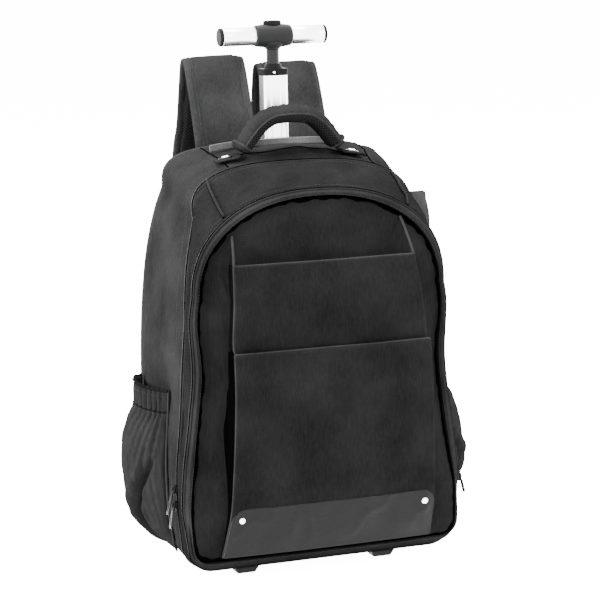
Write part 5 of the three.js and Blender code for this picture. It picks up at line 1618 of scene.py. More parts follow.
@dataclass
class SidePocket:
    """A gathered pocket on one side, with an elastic rim."""

    form: Form
    side: str
    sign: int
    wall: float = 2 * MM
    bulge: float = 32 * MM
    squareness: float = 0.6
    gather: float = 6.5 * MM
    gathers: float = 10.0
    fold: float = 13 * MM
    rows: int = 84
    columns: int = 90

    def build(self) -> None:
        """Makes the cup, its elastic rim and its stitches."""
        low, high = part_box(f"side_pocket_{self.side}")
        front, back = low.y, high.y
        heights = np.linspace(0, 1, self.rows)
        z = lerp(low.z, high.z, heights)
        along = np.linspace(0, 1, self.columns)
        grid_z, grid_a = np.meshgrid(z, along, indexing="ij")
        y = lerp(front, back, grid_a)
        share = (grid_z - low.z) / (high.z - low.z)
        swell = np.maximum(np.sin(math.pi * grid_a), 0) ** self.squareness
        base = self.form.side_at(y, grid_z) + 1.2 * MM + self.wall
        stand = self.bulge * SIDE_POCKET.at(share, "bulge") * swell
        points = np.stack([self.sign * (base + stand), y, grid_z], axis=-1)
        normals = grid_normals(points) * self.sign
        hem = smooth(np.minimum(grid_a, 1 - grid_a), 0, 0.05)
        phase = math.pi * self.gathers * (grid_a ** 0.6 + 0.03 * np.sin(share * 9))
        ruck = np.abs(np.sin(phase)) ** 0.6 - 0.7
        push = self.gather * SIDE_POCKET.at(share, "gather") * ruck
        line, deep = POCKET_FOLD.at(share, "along"), POCKET_FOLD.at(share, "depth")
        push -= self.fold * deep * (bump(grid_a, line, 0.03) - 0.45 * bump(grid_a, line + 0.1, 0.055))
        soft = ripple(points, 34 * MM, 57.0 + self.sign, (1, 1, 2.2)) * 2.6 * MM
        soft += creases(points, 40 * MM, 61.0 + self.sign, (1, 0.8, 2.4)) * 2.0 * MM
        push += soft * smooth(share, 0, 0.12) * (1 - smooth(share, 0.8, 0.9))
        points = points + normals * (push * hem)[..., None]
        points[..., 0] = self.sign * np.maximum(points[..., 0] * self.sign, base)
        points[..., 2] += ruck * hem * smooth(share, 0.86, 1) * 2.2 * MM
        cup = walled(panel(f"side_pocket_{self.side}_cloth", points, flip=self.sign < 0), self.wall, 0)
        place(cup, BODY_CLOTH, "body_cloth", f"side_pocket_{self.side}")
        out = np.tile(RIGHT * self.sign, (self.columns, 1))
        rim = tube("rim", points[-1] + [0, 0, 0.2 * MM], 1.9 * MM, 10, outs=out)
        second = tube("second", points[-12] + out * 0.1 * MM, 0.9 * MM, 8, outs=out)
        place(joined(f"side_pocket_{self.side}_elastic", rim, second), WEBBING, "webbing")
        ends = [tube(f"end{k}", points[:, k] - RIGHT * self.sign * 0.6 * MM, 1.3 * MM, 8,
                     outs=np.tile(RIGHT * self.sign, (self.rows, 1))) for k in (0, -1)]
        place(joined(f"side_pocket_{self.side}_binding", *ends), BINDING, "body_cloth")
        lines = [(points[r] + out * 0.2 * MM, out, False) for r in (-4, -13)]
        place(STITCHES.along(f"side_pocket_{self.side}_stitches", lines), THREAD, "body_cloth")


# Back panel

@dataclass
class BackPanel:
    """The padded back: raised air-mesh pads between sewn channels, with a bound edge."""

    form: Form
    padding: float = 13 * MM
    seat: float = 7 * MM
    channel: float = 7 * MM

    def pads(self, x: np.ndarray, z: np.ndarray, share: np.ndarray) -> np.ndarray:
        """How full the padding is, from 0 in a channel to 1 on a pad."""
        form = self.form
        lines = [np.abs(x) / (9 * MM)]
        for level in (0.34, 0.6, 0.82):
            bow = 14 * MM * (x / form.half) ** 2
            lines.append(np.abs(z - level * form.height - bow) / (6 * MM))
        near = np.minimum.reduce(lines)
        edge = (1 - share) * form.half / (13 * MM)
        return np.minimum(1 - np.exp(-(near ** 1.6) * 0.7), 1 - np.exp(-(edge ** 1.2) * 1.3))

    def build(self) -> None:
        """Makes the padded slab and its border."""
        form = self.form
        back = form.loops["back"]
        y0, y1 = form.back + 0.3 * MM, form.back + 0.3 * MM + self.padding
        middle = np.array([0, 0, form.height * 0.5])
        rings = []
        for share in np.linspace(0.12, 0.985, 10):
            ring = lerp(middle, back, share)
            ring[:, 1] = y0
            rings.append(ring)
        for turn in np.linspace(-1, 1, 7):
            ring = form.offset(back, -2.2 * MM * (1 - math.cos(turn * math.pi / 2)) - 0.4 * MM)
            ring[:, 1] = lerp(y0, y0 + self.seat, (turn + 1) / 2)
            rings.append(ring)
        for share in np.concatenate([[0.975], np.linspace(0.965, 0.02, 74)]):
            ring = lerp(middle, back, share)
            full = self.pads(ring[:, 0], ring[:, 2], np.full(len(ring), share))
            ring[:, 1] = lerp(y0 + self.seat - 0.5 * MM, y1, full)
            rings.append(ring)
        slab = closed_rings("back_panel_pad", np.array(rings))
        cutters = []
        for side in ("left", "right"):
            low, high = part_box(f"wheel_housing_{side}")
            outline = rounded(high.y - low.y + MM, high.z - low.z + MM, 8 * MM)
            outline = outline + [(low.y + high.y) / 2, (low.z + high.z) / 2]
            cutters.append(prism(f"notch_{side}", outline, low.x - 0.5 * MM, high.x + 0.5 * MM,
                                 (-FRONT, UP, RIGHT)))
        ClothBody.cut(slab, joined("cutters", *cutters))
        puffed(slab, np.concatenate([form.loops["back"], rings[0]]), 4 * MM, voxel=6 * MM)
        place(slab, AIR_MESH, "back_mesh", "back_panel", padded=0.7)
        border = form.offset(back, -1.0 * MM)
        border[:, 1] = y0 + self.seat * 0.5
        place(tube("back_panel_border", border, 2.6 * MM, 10, True, outs=form.outwards(back)), BINDING,
              "body_cloth")


# Straps and the grab handle

STRAP = Table("step rise slack splay width", [
    (0, -0.2, 0, 0, 1),
    (1, -0.04, 0, 0, 1),
    (2, 0.24, 0.09, 0, 1),
    (3, 0.6, 0.24, 0, 1),
    (4, 0.88, 0.38, 0, 1),
    (5, 0.98, 0.475, 0, 1),
    (6, 0.93, 0.57, 0, 1),
    (7, 0.6, 0.66, 0.01, 1),
    (8, 0.17, 0.76, 0.04, 1),
    (9, -0.14, 0.89, 0.12, 1),
    (10, -0.36, 1, 0.2, 0.98),
    (11, -0.58, 0.97, 0.26, 0.92),
    (12, -0.8, 0.8, 0.26, 0.8),
    (13, -0.98, 0.48, 0.24, 0.66),
    (14, -1.09, 0.16, 0.22, 0.5),
    (15, -1.15, 0.02, 0.2, 0.44),
    (16, -1.2, 0, 0.2, 0.42),
])


@dataclass
class ShoulderStrap:
    """A padded strap: plain outside, air mesh inside, bound edges, a buckle and its webbing."""

    form: Form
    side: str
    sign: int
    loop: float
    spacing: float = 42 * MM
    half: float = 34.5 * MM
    thick: float = 9 * MM
    slack: float = 86 * MM
    length: float = 208 * MM
    drop: float = 6 * MM
    edge: float = 9 * MM
    samples: int = 170

    def path(self) -> tuple[np.ndarray, np.ndarray]:
        """The strap's middle line and its half width at each place."""
        step = np.linspace(0, 16, self.samples)
        rise = STRAP.at(step, "rise")
        y = self.form.back + 13.8 * MM + self.thick / 2 + STRAP.at(step, "slack") * self.slack
        z = self.form.height - self.drop + rise * np.where(rise > 0, self.loop, self.length)
        x = self.sign * self.spacing * (1 + STRAP.at(step, "splay"))
        return np.stack([x, y, z], axis=1), self.half * STRAP.at(step, "width")

    def section(self, half: np.ndarray, columns: int = 26) -> tuple[np.ndarray, np.ndarray]:
        """The padded section's places across and out, round its whole edge."""
        t = np.linspace(-1, 1, columns)
        u = t * (half - 1.5 * MM)[:, None]
        inside = smooth(half[:, None] - np.abs(u), 1.5 * MM, self.edge + 4 * MM)
        groove = bump(half[:, None] - np.abs(u), self.edge, 1.1 * MM)
        v = lerp(1.9 * MM, self.thick / 2, inside ** 0.7) - groove * 0.8 * MM
        u = np.concatenate([u, u[:, ::-1]], axis=1)
        v = np.concatenate([v, -v[:, ::-1]], axis=1)
        return u, v

    def build(self) -> None:
        """Makes the strap, its mesh side, its bindings and its tail."""
        path, half = self.path()
        across = np.tile(RIGHT, (len(path), 1))
        ahead = unit(np.gradient(path, axis=0))
        out = unit(np.cross(across, ahead))
        u, v = self.section(half)
        rings = path[:, None] + across[:, None] * u[..., None] + out[:, None] * v[..., None]
        soft = ripple(rings, 45 * MM, 71.0 + self.sign) * 0.7 * MM + creases(rings, 50 * MM,
                                                                             73.0 + self.sign) * 0.3 * MM
        rings = rings + out[:, None] * soft[..., None]
        strap = closed_rings(f"shoulder_strap_{self.side}_pad", rings)
        sewn = [path + across * (hand * (half - self.edge))[:, None] for hand in (-1, 1)]
        puffed(strap, np.concatenate(sewn), 2.5 * MM)
        place(strap, STRAP_CLOTH, "strap_cloth", f"shoulder_strap_{self.side}", padded=0.65)
        self.lining(path, half, across, out, soft)
        self.bindings(path, half, across, out)
        self.tail()

    def lining(self, path: np.ndarray, half: np.ndarray, across: np.ndarray, out: np.ndarray,
               soft: np.ndarray) -> None:
        """The air mesh on the strap's inner side."""
        t = np.linspace(-1, 1, 24)
        u = t * (half - self.edge + 1 * MM)[:, None]
        crown = 1 - t[None, :] ** 6
        v = -(self.thick / 2 - 1.2 * MM + crown * 1.9 * MM)
        points = path[:, None] + across[:, None] * u[..., None] + out[:, None] * v[..., None]
        points = points + out[:, None] * soft[:, -24:][..., None]
        mesh = walled(panel(f"shoulder_strap_{self.side}_mesh", points), 1.2 * MM, 0)
        place(mesh, AIR_MESH, "back_mesh")

    def bindings(self, path: np.ndarray, half: np.ndarray, across: np.ndarray, out: np.ndarray) -> None:
        """The tapes that bind both edges, and their stitches."""
        bands, lines = [], []
        for hand in (-1, 1):
            turn = np.linspace(-math.pi / 2, math.pi / 2, 9)
            reach = self.edge - 1.5 * MM
            u = np.concatenate([[-reach], np.cos(turn) * 2.3 * MM - 0.5 * MM, [-reach]])
            v = np.concatenate([[-3.6 * MM], np.sin(turn) * 2.7 * MM, [3.6 * MM]])
            edge = path + across * (hand * (half - 1.4 * MM))[:, None]
            rings = edge[:, None] + across[:, None] * (hand * u)[None, :, None] + out[:, None] * v[None, :,
                                                                                                   None]
            bands.append(walled(panel(f"bind{hand}", rings, flip=hand > 0), 0.8 * MM, 0))
            baked(bands[-1])
            for face in (-1, 1):
                seam = edge - across * (hand * (reach - 1.6 * MM)) + out * face * 3.75 * MM
                lines.append((seam, out * face, False))
        place(joined(f"shoulder_strap_{self.side}_binding", *bands), BINDING, "strap_cloth")
        place(STITCHES.along(f"shoulder_strap_{self.side}_stitches", lines), THREAD, "strap_cloth")
        seams = [tube(f"seam{k}", line[0] + line[1] * 0.8 * MM, 0.9 * MM, 6) for k, line in enumerate(lines)]
        place(joined(f"shoulder_strap_{self.side}_seams", *seams), SHADOW_CLOTH, "strap_cloth")

    def tail(self) -> None:
        """The slotted buckle and the webbing below the strap."""
        low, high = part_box(f"strap_buckle_{self.side}")
        middle = np.array((low + high) / 2)
        width, height, thick = high.x - low.x, high.z - low.z, high.y - low.y
        ring = rounded(width, height, 4 * MM)
        hole = rounded(width - 8 * MM, height - 8 * MM, 2 * MM)
        axes = (RIGHT, UP, -FRONT)
        frame_ = prism("rim", ring + [middle[0], middle[2]], low.y, high.y, axes,
                       hole + [middle[0], middle[2]])
        bar = tube("bar", middle + RIGHT * np.linspace(-0.5, 0.5, 8)[:, None] * (width - 4 * MM), 2 * MM, 10)
        baked(bevelled(frame_, 1.1 * MM, 3))
        buckle = joined(f"strap_buckle_{self.side}_frame", frame_, bar)
        place(buckle, BLACK_PLASTIC, "black_plastic", f"strap_buckle_{self.side}")
        low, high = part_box(f"strap_webbing_{self.side}")
        z = np.linspace(middle[2] + 6 * MM, low.z, 60)
        y = (low.y + high.y) / 2 + bump(z, middle[2], 5 * MM) * thick * 0.5
        y = y + np.sin(np.linspace(0, 9, 60)) * 0.25 * MM
        run = np.stack([np.full(60, middle[0]), y, z], axis=1)
        webbing = band(f"strap_webbing_{self.side}_tape", run, RIGHT, (high.x - low.x) / 2, high.y - low.y)
        place(webbing, WEBBING, "webbing", f"strap_webbing_{self.side}")
        sewn = run[-1] + UP * 3 * MM
        square = rounded(19 * MM, 16 * MM, 1 * MM) + [sewn[0], sewn[2] + 8 * MM]
        path = np.stack([square[:, 0], np.full(len(square), high.y + 0.1 * MM), square[:, 1]], axis=1)
        place(STITCHES.along(f"strap_webbing_{self.side}_stitches", [(path, -FRONT, True)]), THREAD,
              "webbing")


ARCH = Table("step reach rise", [
    (0, 1, 0),
    (1, 0.83, 0.34),
    (2, 0.62, 0.7),
    (3, 0.36, 0.94),
    (4, 0, 1),
])


@dataclass
class GrabHandle:
    """The padded handle on the roof, its mesh underside, its bound ends and its anchors."""

    form: Form
    half: float = 14 * MM
    thick: float = 18 * MM
    reach: float = 55 * MM
    samples: int = 90
    y: float = 0.0
    rise: float = 476 * MM
    foot: float = 441 * MM

    def build(self) -> None:
        """Makes the handle and what holds it."""
        low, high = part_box("grab_handle")
        self.y = (low.y + high.y) / 2
        self.rise = high.z - self.thick / 2
        step = np.linspace(0, 4, self.samples // 2)
        x = np.concatenate([-ARCH.at(step, "reach"), ARCH.at(step[::-1], "reach")[1:]]) * self.reach
        share = np.concatenate([ARCH.at(step, "rise"), ARCH.at(step[::-1], "rise")[1:]])
        z = lerp(self.foot, self.rise, share)
        path = np.stack([x, np.full_like(x, self.y), z], axis=1)
        across = np.tile(-FRONT, (len(path), 1))
        ahead = unit(np.gradient(path, axis=0))
        out = unit(np.cross(ahead, across))
        out = np.where(out[:, 2:] < 0, -out, out)
        self.shell(path, across, out)
        self.underside(path, across, out)
        self.ends(path, across, out)

    def profile(self, count: int = 28) -> tuple[np.ndarray, np.ndarray]:
        """The section's places across and out, round its whole edge."""
        turn = np.linspace(-0.08 * math.pi, 1.08 * math.pi, count)
        u = np.cos(turn)
        v = np.sin(turn) * 1.06 - 0.06
        bottom = np.linspace(u[-1], u[0], 12)[1:-1]
        u = np.concatenate([u, bottom])
        v = np.concatenate([v, -0.62 - 0.12 * (1 - (bottom / u[0]) ** 2)])
        v[0] = v[count - 1] = -0.58
        return u, v

    def shell(self, path: np.ndarray, across: np.ndarray, out: np.ndarray) -> None:
        """The stuffed cover."""
        u, v = self.profile()
        swell = 1 + 0.05 * bump(path[:, 0], 0, 26 * MM) - 0.1 * bump(np.abs(path[:, 0]), self.reach, 9 * MM)
        rings = path[:, None] + across[:, None] * (u * self.half)[None, :, None] * swell[:, None, None] \
            + out[:, None] * (v * self.thick / 2)[None, :, None] * swell[:, None, None]
        fold = ripple(rings, 20 * MM, 81.0, (0.7, 1.6, 1)) * 1.3 * MM + creases(rings, 26 * MM, 83.0,
                                                                                (0.6, 1.5, 1)) * 1.4 * MM
        fold = fold - bump(path[:, 0], 14 * MM, 2.5 * MM)[:, None] * 2.0 * MM
        rings = rings + out[:, None] * fold[..., None]
        cover = closed_rings("grab_handle_pad", rings)
        sewn = [path - out * self.thick * 0.45, path - across * self.half - out * 4 * MM]
        puffed(cover, np.concatenate([*sewn, *rings[[1, 2, -3, -2]]]), 3 * MM, voxel=4 * MM)
        place(cover, STRAP_CLOTH, "strap_cloth", "grab_handle", padded=0.8)

    def underside(self, path: np.ndarray, across: np.ndarray, out: np.ndarray) -> None:
        """The air mesh below, with its sewn edges."""
        t = np.linspace(-0.9, 0.9, 16)
        middle = slice(4, -4)
        u = np.concatenate([[-1.02, -1.05, -1.0], t]) * self.half
        v = np.concatenate([[0.08, -0.28, -0.52], -(0.66 + 0.2 * (1 - t ** 2))]) * self.thick / 2
        points = path[middle, None] + across[middle, None] * u[None, :, None] + out[middle, None] * v[None,
                                                                                                      :, None]
        mesh = walled(panel("grab_handle_mesh", points, flip=True), 1.2 * MM, 0)
        place(mesh, AIR_MESH, "back_mesh")
        edges = [tube(f"edge{hand}", points[:, k] + across[middle] * hand * 0.4 * MM, 1.15 * MM, 8,
                      outs=-out[middle]) for k, hand in ((0, -1), (-1, 1))]
        place(joined("grab_handle_edges", *edges), BINDING, "strap_cloth")

    def ends(self, path: np.ndarray, across: np.ndarray, out: np.ndarray) -> None:
        """The bound ends, the webbing sewn to the roof and its bars."""
        u, v = self.profile()
        for side, sign, index in (("left", -1, 3), ("right", 1, -4)):
            ring = path[index] + across[index] * (u * (self.half + 0.3 * MM))[:, None] \
                + out[index] * (v * (self.thick / 2 + 0.3 * MM))[:, None]
            outs = unit(ring - path[index])
            place(tube(f"grab_handle_{side}_bound_end", ring, 1.7 * MM, 8, True, outs=outs), BINDING,
                  "strap_cloth")
            low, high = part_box(f"handle_anchor_{side}")
            tip = high.x if sign > 0 else -low.x
            x = np.linspace(self.reach + 2 * MM, tip, 30)
            y = np.full_like(x, self.y)
            z = self.form.roof_at(x, y) + 2 * MM
            z[:4] += np.array([2.2, 1.4, 0.7, 0.2]) * MM
            run = np.stack([sign * x, y, z], axis=1)
            tape = band(f"handle_anchor_{side}_tape", run, -FRONT * sign, 10 * MM, 2 * MM)
            place(tape, BODY_CLOTH, "webbing", f"handle_anchor_{side}")
            self.bar(side)

    def bar(self, side: str) -> None:
        """The bright bar that is riveted over the webbing, in its dark eyelet."""
        low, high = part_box(f"anchor_bar_{side}")
        middle = np.array((low + high) / 2)
        ends = self.form.roof_at(np.abs(np.array([middle[0] - 4 * MM, middle[0] + 4 * MM])),
                                 np.full(2, self.y))
        along = unit(np.array([8 * MM, 0, ends[1] - ends[0]]))
        radius = 1.2 * MM
        path = middle + along * np.linspace(-3.2, 3.2, 12)[:, None] * MM
        place(tube(f"anchor_bar_{side}_rod", path, radius, 14), CHROME, "chrome_trim", f"anchor_bar_{side}")
        plate = []
        for share in np.linspace(0, 2 * math.pi, 28, endpoint=False):
            plate.append(middle + along * math.cos(share) * 6.4 * MM - FRONT * math.sin(share) * 3.4 * MM
                         - UP * 1.4 * MM)
        place(tube(f"anchor_eyelet_{side}", np.array(plate), 1.3 * MM, 8, True, outs=np.tile(UP, (28, 1))),
              DARK_METAL, "dark_metal")


# Trims and sliders


@dataclass
class Trims:
    """The grey lip at the trolley's slot and the grey tab on the right shoulder."""

    form: Form

    def build(self) -> None:
        """Makes both trims."""
        low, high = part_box("top_lip")
        y = (low.y + high.y) / 2
        x = np.linspace(low.x, high.x, 90)
        foot = self.form.roof_at(x, np.full_like(x, y)) + 0.5 * MM
        rows = []
        for share in np.linspace(0, 1, 10):
            wave = np.sin(x / (17 * MM)) * 0.8 * MM * share
            rows.append(np.stack([x, y + 1.1 * MM + wave * 0.6, foot + share * 7 * MM], axis=1))
        lip = walled(panel("top_lip_strip", np.array(rows), flip=True), 2.2 * MM, 0)
        place(bevelled(lip, 0.7 * MM), GREY_CLOTH, "grey_trim", "top_lip")
        seam = rows[2] + FRONT * 1.3 * MM
        place(STITCHES.along("top_lip_stitches", [(seam, FRONT, False)]), THREAD, "grey_trim")
        self.tab()

    def tab(self) -> None:
        """The strip sewn edge on to the gusset."""
        low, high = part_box("side_tab")
        shape = Table("level spread", [(0, 0.12), (0.35, 0.5), (0.7, 0.85), (0.97, 1), (1, 0.9)])
        y, reach = (low.y + high.y) / 2, 22 * MM
        levels = np.linspace(0, 1, 40)
        z = lerp(low.z, high.z, levels)
        root = self.form.side_at(np.full_like(z, y), z) + 0.6 * MM
        rows = []
        for share in np.linspace(0, 1, 16):
            x = root + share * reach * shape.at(levels, "spread")
            wave = np.sin(z / (9 * MM) + share * 2) * 0.8 * MM * share
            rows.append(np.stack([x, y + 1.2 * MM + wave, z], axis=1))
        tab = walled(panel("side_tab_strip", np.array(rows).transpose(1, 0, 2), flip=True), 2.4 * MM, 0)
        place(bevelled(tab, 0.7 * MM), TAB_CLOTH, "grey_trim", "side_tab")


SLIDERS = {
    "slider_left_upper": ("zip", -1, 101 * MM, 26 * MM, 18, 20),
    "slider_left_lower": ("zip", -1, 84 * MM, 24 * MM, -3, 8),
    "slider_right_upper": ("zip", 1, 352 * MM, 17 * MM, 0, 14),
    "slider_right_lower": ("zip", 1, 332 * MM, 17 * MM, 4, 14),
    "slider_front": ("front", 1, 86 * MM, 18 * MM, -8, 10),
}


@dataclass
class Slider:
    """A zip slider: its shell with a bridge, and the pull on its ring."""

    form: Form
    name: str
    width: float = 7 * MM
    length: float = 11 * MM
    height: float = 3.4 * MM

    def build(self) -> None:
        """Makes the slider and its pull, and sets them on the zipper."""
        loop, sign, z, pull, swing, lift = SLIDERS[self.name]
        outline = self.form.loops[loop]
        half = outline[24: len(outline) // 2] * [sign, 1, 1]
        if loop == "front":
            half = outline[24: len(outline) // 2] * 1.0
        seat = np.array([np.interp(z, half[:, 2], half[:, k]) for k in range(3)])
        above = np.array([np.interp(z + 5 * MM, half[:, 2], half[:, k]) for k in range(3)])
        up = unit(above - seat)
        out = unit(np.cross(up, -FRONT))
        out = out if out[0] * sign > 0 else -out
        side = np.cross(out, up)
        frame_ = np.array([side, out, up]).T

        def settled(obj: bpy.types.Object) -> bpy.types.Object:
            turned = np.array([v.co for v in obj.data.vertices]) @ frame_.T + seat + out * 0.9 * MM
            obj.data.vertices.foreach_set("co", turned.astype(np.float32).ravel())
            return outward(obj)

        finish, slot = (CHROME, "chrome_trim") if "right" in self.name else (DARK_METAL, "dark_metal")
        body = [self.wing(0), self.wing(self.height - 1.2 * MM), self.bridge(), self.post()]
        pieces = [settled(baked(part)) for part in body]
        pieces += [settled(part) for part in self.pull(pull, swing, lift)]
        place(joined(f"{self.name}_metal", *pieces), finish, slot, self.name)

    def wing(self, low: float) -> bpy.types.Object:
        """One of the slider's two plates, wide at the top and waisted at the foot."""
        turn = np.linspace(0, 2 * math.pi, 32, endpoint=False)
        x = np.sin(turn) * self.width / 2 * (0.86 + 0.14 * np.cos(turn))
        z = np.cos(turn) * self.length / 2
        return bevelled(prism("wing", np.stack([x, z], axis=1), low, low + 1.2 * MM, (RIGHT, UP, -FRONT)),
                        0.35 * MM)

    def post(self) -> bpy.types.Object:
        """The post between the plates."""
        return prism("post", rounded(2.2 * MM, 3.5 * MM, 0.8 * MM), 1 * MM, self.height - 1 * MM,
                     (RIGHT, UP, -FRONT))

    def bridge(self) -> bpy.types.Object:
        """The bridge that the pull hangs from."""
        turn = np.linspace(0, math.pi, 16)
        path = np.stack([turn * 0, self.height - 0.3 * MM + np.sin(turn) * 2.2 * MM,
                         np.cos(turn) * 3.4 * MM], axis=1)
        return tube("bridge", path, 0.75 * MM, 8, start=RIGHT)

    def pull(self, length: float, swing: float, lift: float) -> list[bpy.types.Object]:
        """The ring and the puller, with an eye near its tip."""
        turn = np.linspace(0, 2 * math.pi, 24, endpoint=False)
        ring = np.stack([np.sin(turn) * 2.1 * MM, np.cos(turn) * 0.3 * MM,
                         -1.5 * MM + np.cos(turn) * 3.0 * MM], axis=1)
        link = tube("link", ring, 0.65 * MM, 8, True, outs=np.tile(-FRONT, (24, 1)))
        foot, head = -length, -3.2 * MM
        outline = rounded(5.2 * MM, head - foot, 2.2 * MM, 8) + [0, (foot + head) / 2]
        waist = 1 - 0.18 * bump(outline[:, 1], (foot + head) / 2, (head - foot) * 0.25)
        outline = outline * np.stack([waist, np.ones_like(waist)], axis=1)
        eye = rounded(2.2 * MM, (head - foot) * 0.42, 1.05 * MM, 8) + [0, lerp(foot, head, 0.36)]
        tag = baked(bevelled(prism("tag", outline, -0.9 * MM, 0.9 * MM, (RIGHT, UP, -FRONT), eye), 0.4 * MM))
        spin = Matrix.Rotation(math.radians(swing), 3, "Y") @ Matrix.Identity(3)
        tilt = Matrix.Rotation(math.radians(lift), 3, "X")
        for part in (link, tag):
            part.data.transform((tilt @ spin).to_4x4())
            part.data.transform(Matrix.Translation((0, self.height + 0.6 * MM, 0)))
        return [link, tag]


# Trolley pole and its handle


@dataclass
class Trolley:
    """The telescopic pole, its collar, the neck, the hub, the grips and the button."""

    pole_y: float

    def build(self) -> None:
        """Makes each piece of the trolley on its own body."""
        self.pole()
        self.neck()
        self.hub()
        self.grips()
        self.button()

    def section(self, width: float, depth: float, corner: float, flute: float) -> np.ndarray:
        """The pole's outline with shallow grooves down its wide faces."""
        ring = rounded(width, depth, corner, 6)
        dense = []
        for a, b in zip(ring, np.roll(ring, -1, axis=0)):
            count = max(int(np.linalg.norm(b - a) / (0.45 * MM)), 1)
            dense += [lerp(a, b, k / count) for k in range(count)]
        dense = np.array(dense)
        for groove in (-0.2, 0.2):
            cut = bump(dense[:, 0], groove * width, 0.75 * MM) * flute * (np.abs(dense[:, 1]) > depth * 0.45)
            dense[:, 1] -= np.sign(dense[:, 1]) * cut
        return dense + [0, self.pole_y]

    def pole(self) -> None:
        """The aluminium pole and its collar."""
        low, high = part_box("pole_tube")
        width, depth = high.x - low.x, high.y - low.y
        outer = self.section(width, depth, 3.5 * MM, 0.7 * MM)
        middle = np.array([0, self.pole_y])
        inner = middle + (outer - middle) * [1 - 2.8 * MM / width, 1 - 2.8 * MM / depth]
        tube_ = bevelled(prism("pole_tube_profile", outer, low.z, high.z, hole=inner), 0.3 * MM, 2)
        place(tube_, ALUMINIUM, "bright_aluminium", "pole_tube", body="pole")
        low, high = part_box("pole_collar")
        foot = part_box("pole_tube")[1].z
        plate = prism("plate", rounded(width + 1.2 * MM, depth + 1.2 * MM, 4 * MM) + middle, foot - 5 * MM,
                      foot + 2.3 * MM,
                      hole=rounded(14.6 * MM, 14.6 * MM, 7.2 * MM) + middle)
        baked(bevelled(plate, 0.7 * MM))
        centre = np.array([0, self.pole_y, 0])
        ring = hollow_lathe("ring",
                            [(7.3 * MM, foot), (10.5 * MM, foot + 1.5 * MM), (9.6 * MM, foot + 3.4 * MM),
                                     (8.5 * MM, high.z - 0.6 * MM), (7.9 * MM, high.z),
                                     (7.3 * MM, high.z - 0.4 * MM)],
                            centre)
        place(joined("pole_collar_cap", plate, ring), BLACK_PLASTIC, "black_plastic", "pole_collar",
              body="pole")
        pin = turned_on("collar_pin", [(0, 0), (1.5 * MM, 0), (1.3 * MM, 0.7 * MM), (0, 1.0 * MM)],
                        np.array([-2.5 * MM, self.pole_y - depth / 2 - 0.5 * MM, foot - 1.6 * MM]), FRONT)
        place(pin, CHROME, "chrome_trim", body="pole")

    def neck(self) -> None:
        """The dark inner tube."""
        low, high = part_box("neck_tube")
        r = (high.x - low.x) / 2
        wall = hollow_lathe("neck_tube_wall",
                            [(r - 1.2 * MM, low.z), (r, low.z), (r, high.z), (r - 1.2 * MM, high.z)],
                            np.array([0, self.pole_y, 0]))
        place(bevelled(wall, 0.3 * MM, 2), DARK_METAL, "dark_metal", "neck_tube", body="grip")

    def hub(self) -> None:
        """The moulded hub: a funnel on the neck that runs into the barrel under the grips."""
        low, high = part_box("hub")
        neck_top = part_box("neck_tube")[1].z + 0.3 * MM
        radius, end = 12.3 * MM, (high.x - low.x) / 2
        axis_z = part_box("grip_left")[0].z + 9.7 * MM
        centre = np.array([0, self.pole_y, axis_z])
        profile = [(0, -end), (10.2 * MM, -end), (11.2 * MM, -end + 1 * MM), (11.7 * MM, -end + 5 * MM),
                   (radius, -end + 10 * MM),
                   (radius, end - 10 * MM), (11.7 * MM, end - 5 * MM), (11.2 * MM, end - 1 * MM),
                   (10.2 * MM, end), (0, end)]
        barrel = lathe("barrel", profile, centre, RIGHT, 64)
        shape = Table("rise reach depth", [
            (0, 0.365, 0.593), (0.13, 0.45, 0.65), (0.28, 0.65, 0.772), (0.49, 0.85, 0.845),
            (0.79, 0.85, 0.845)])
        turn = np.linspace(0, 2 * math.pi, 64, endpoint=False)
        rings = []
        for rise in np.linspace(0, 0.79, 22):
            x = shape.at(rise, "reach") * end * np.cos(turn)
            y = self.pole_y + shape.at(rise, "depth") * radius * np.sin(turn)
            rings.append(np.stack([x, y, np.full(64, lerp(neck_top, axis_z, rise))], axis=1))
        funnel = closed_rings("funnel", np.array(rings))
        union = barrel.modifiers.new("union", "BOOLEAN")
        union.operation, union.object, union.solver = "UNION", funnel, "EXACT"
        baked(barrel)
        bpy.data.objects.remove(funnel)
        well = lathe("well", [(0, 0), (1, 0), (1, 20 * MM), (0, 20 * MM)], centre + UP * 4 * MM, UP, 48)
        oval = np.array([v.co for v in well.data.vertices])
        oval[:, 0] = oval[:, 0] * 10.6 * MM
        oval[:, 1] = (oval[:, 1] - self.pole_y) * 6.6 * MM + self.pole_y
        well.data.vertices.foreach_set("co", oval.astype(np.float32).ravel())
        ClothBody.cut(barrel, well)
        barrel.name = "hub_moulding"
        place(bevelled(barrel, 0.8 * MM), GREY_PLASTIC, "grey_plastic", "hub", body="grip")

    def grips(self) -> None:
        """The aluminium grips and their end caps."""
        for side, sign in (("left", -1), ("right", 1)):
            low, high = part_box(f"grip_{side}")
            centre = np.array([0, self.pole_y, (low.z + high.z) / 2])
            inner, outer = sorted((abs(low.x), abs(high.x)))
            r = (high.z - low.z) / 2
            axis = RIGHT * sign
            profile = [(r - 1.5 * MM, inner), (r - 0.3 * MM, inner), (r, inner + 0.4 * MM),
                       (r, outer - 0.4 * MM),
                       (r - 0.3 * MM, outer), (r - 1.5 * MM, outer)]
            place(hollow_lathe(f"grip_{side}_sleeve", profile, centre, axis, 64), GRIP_METAL,
                  "bright_aluminium",
                  f"grip_{side}", body="grip")
            tip = outer + 3.3 * MM
            cap = lathe(f"grip_cap_{side}_plug", [
                (0, outer + 0.2 * MM), (r, outer + 0.2 * MM), (r, tip - 1.1 * MM),
                (r - 0.4 * MM, tip - 0.4 * MM),
                (r - 1.2 * MM, tip), (r - 3 * MM, tip + 0.1 * MM), (0, tip + 0.1 * MM)], centre, axis, 48)
            place(cap, BLACK_PLASTIC, "black_plastic", f"grip_cap_{side}", body="grip")

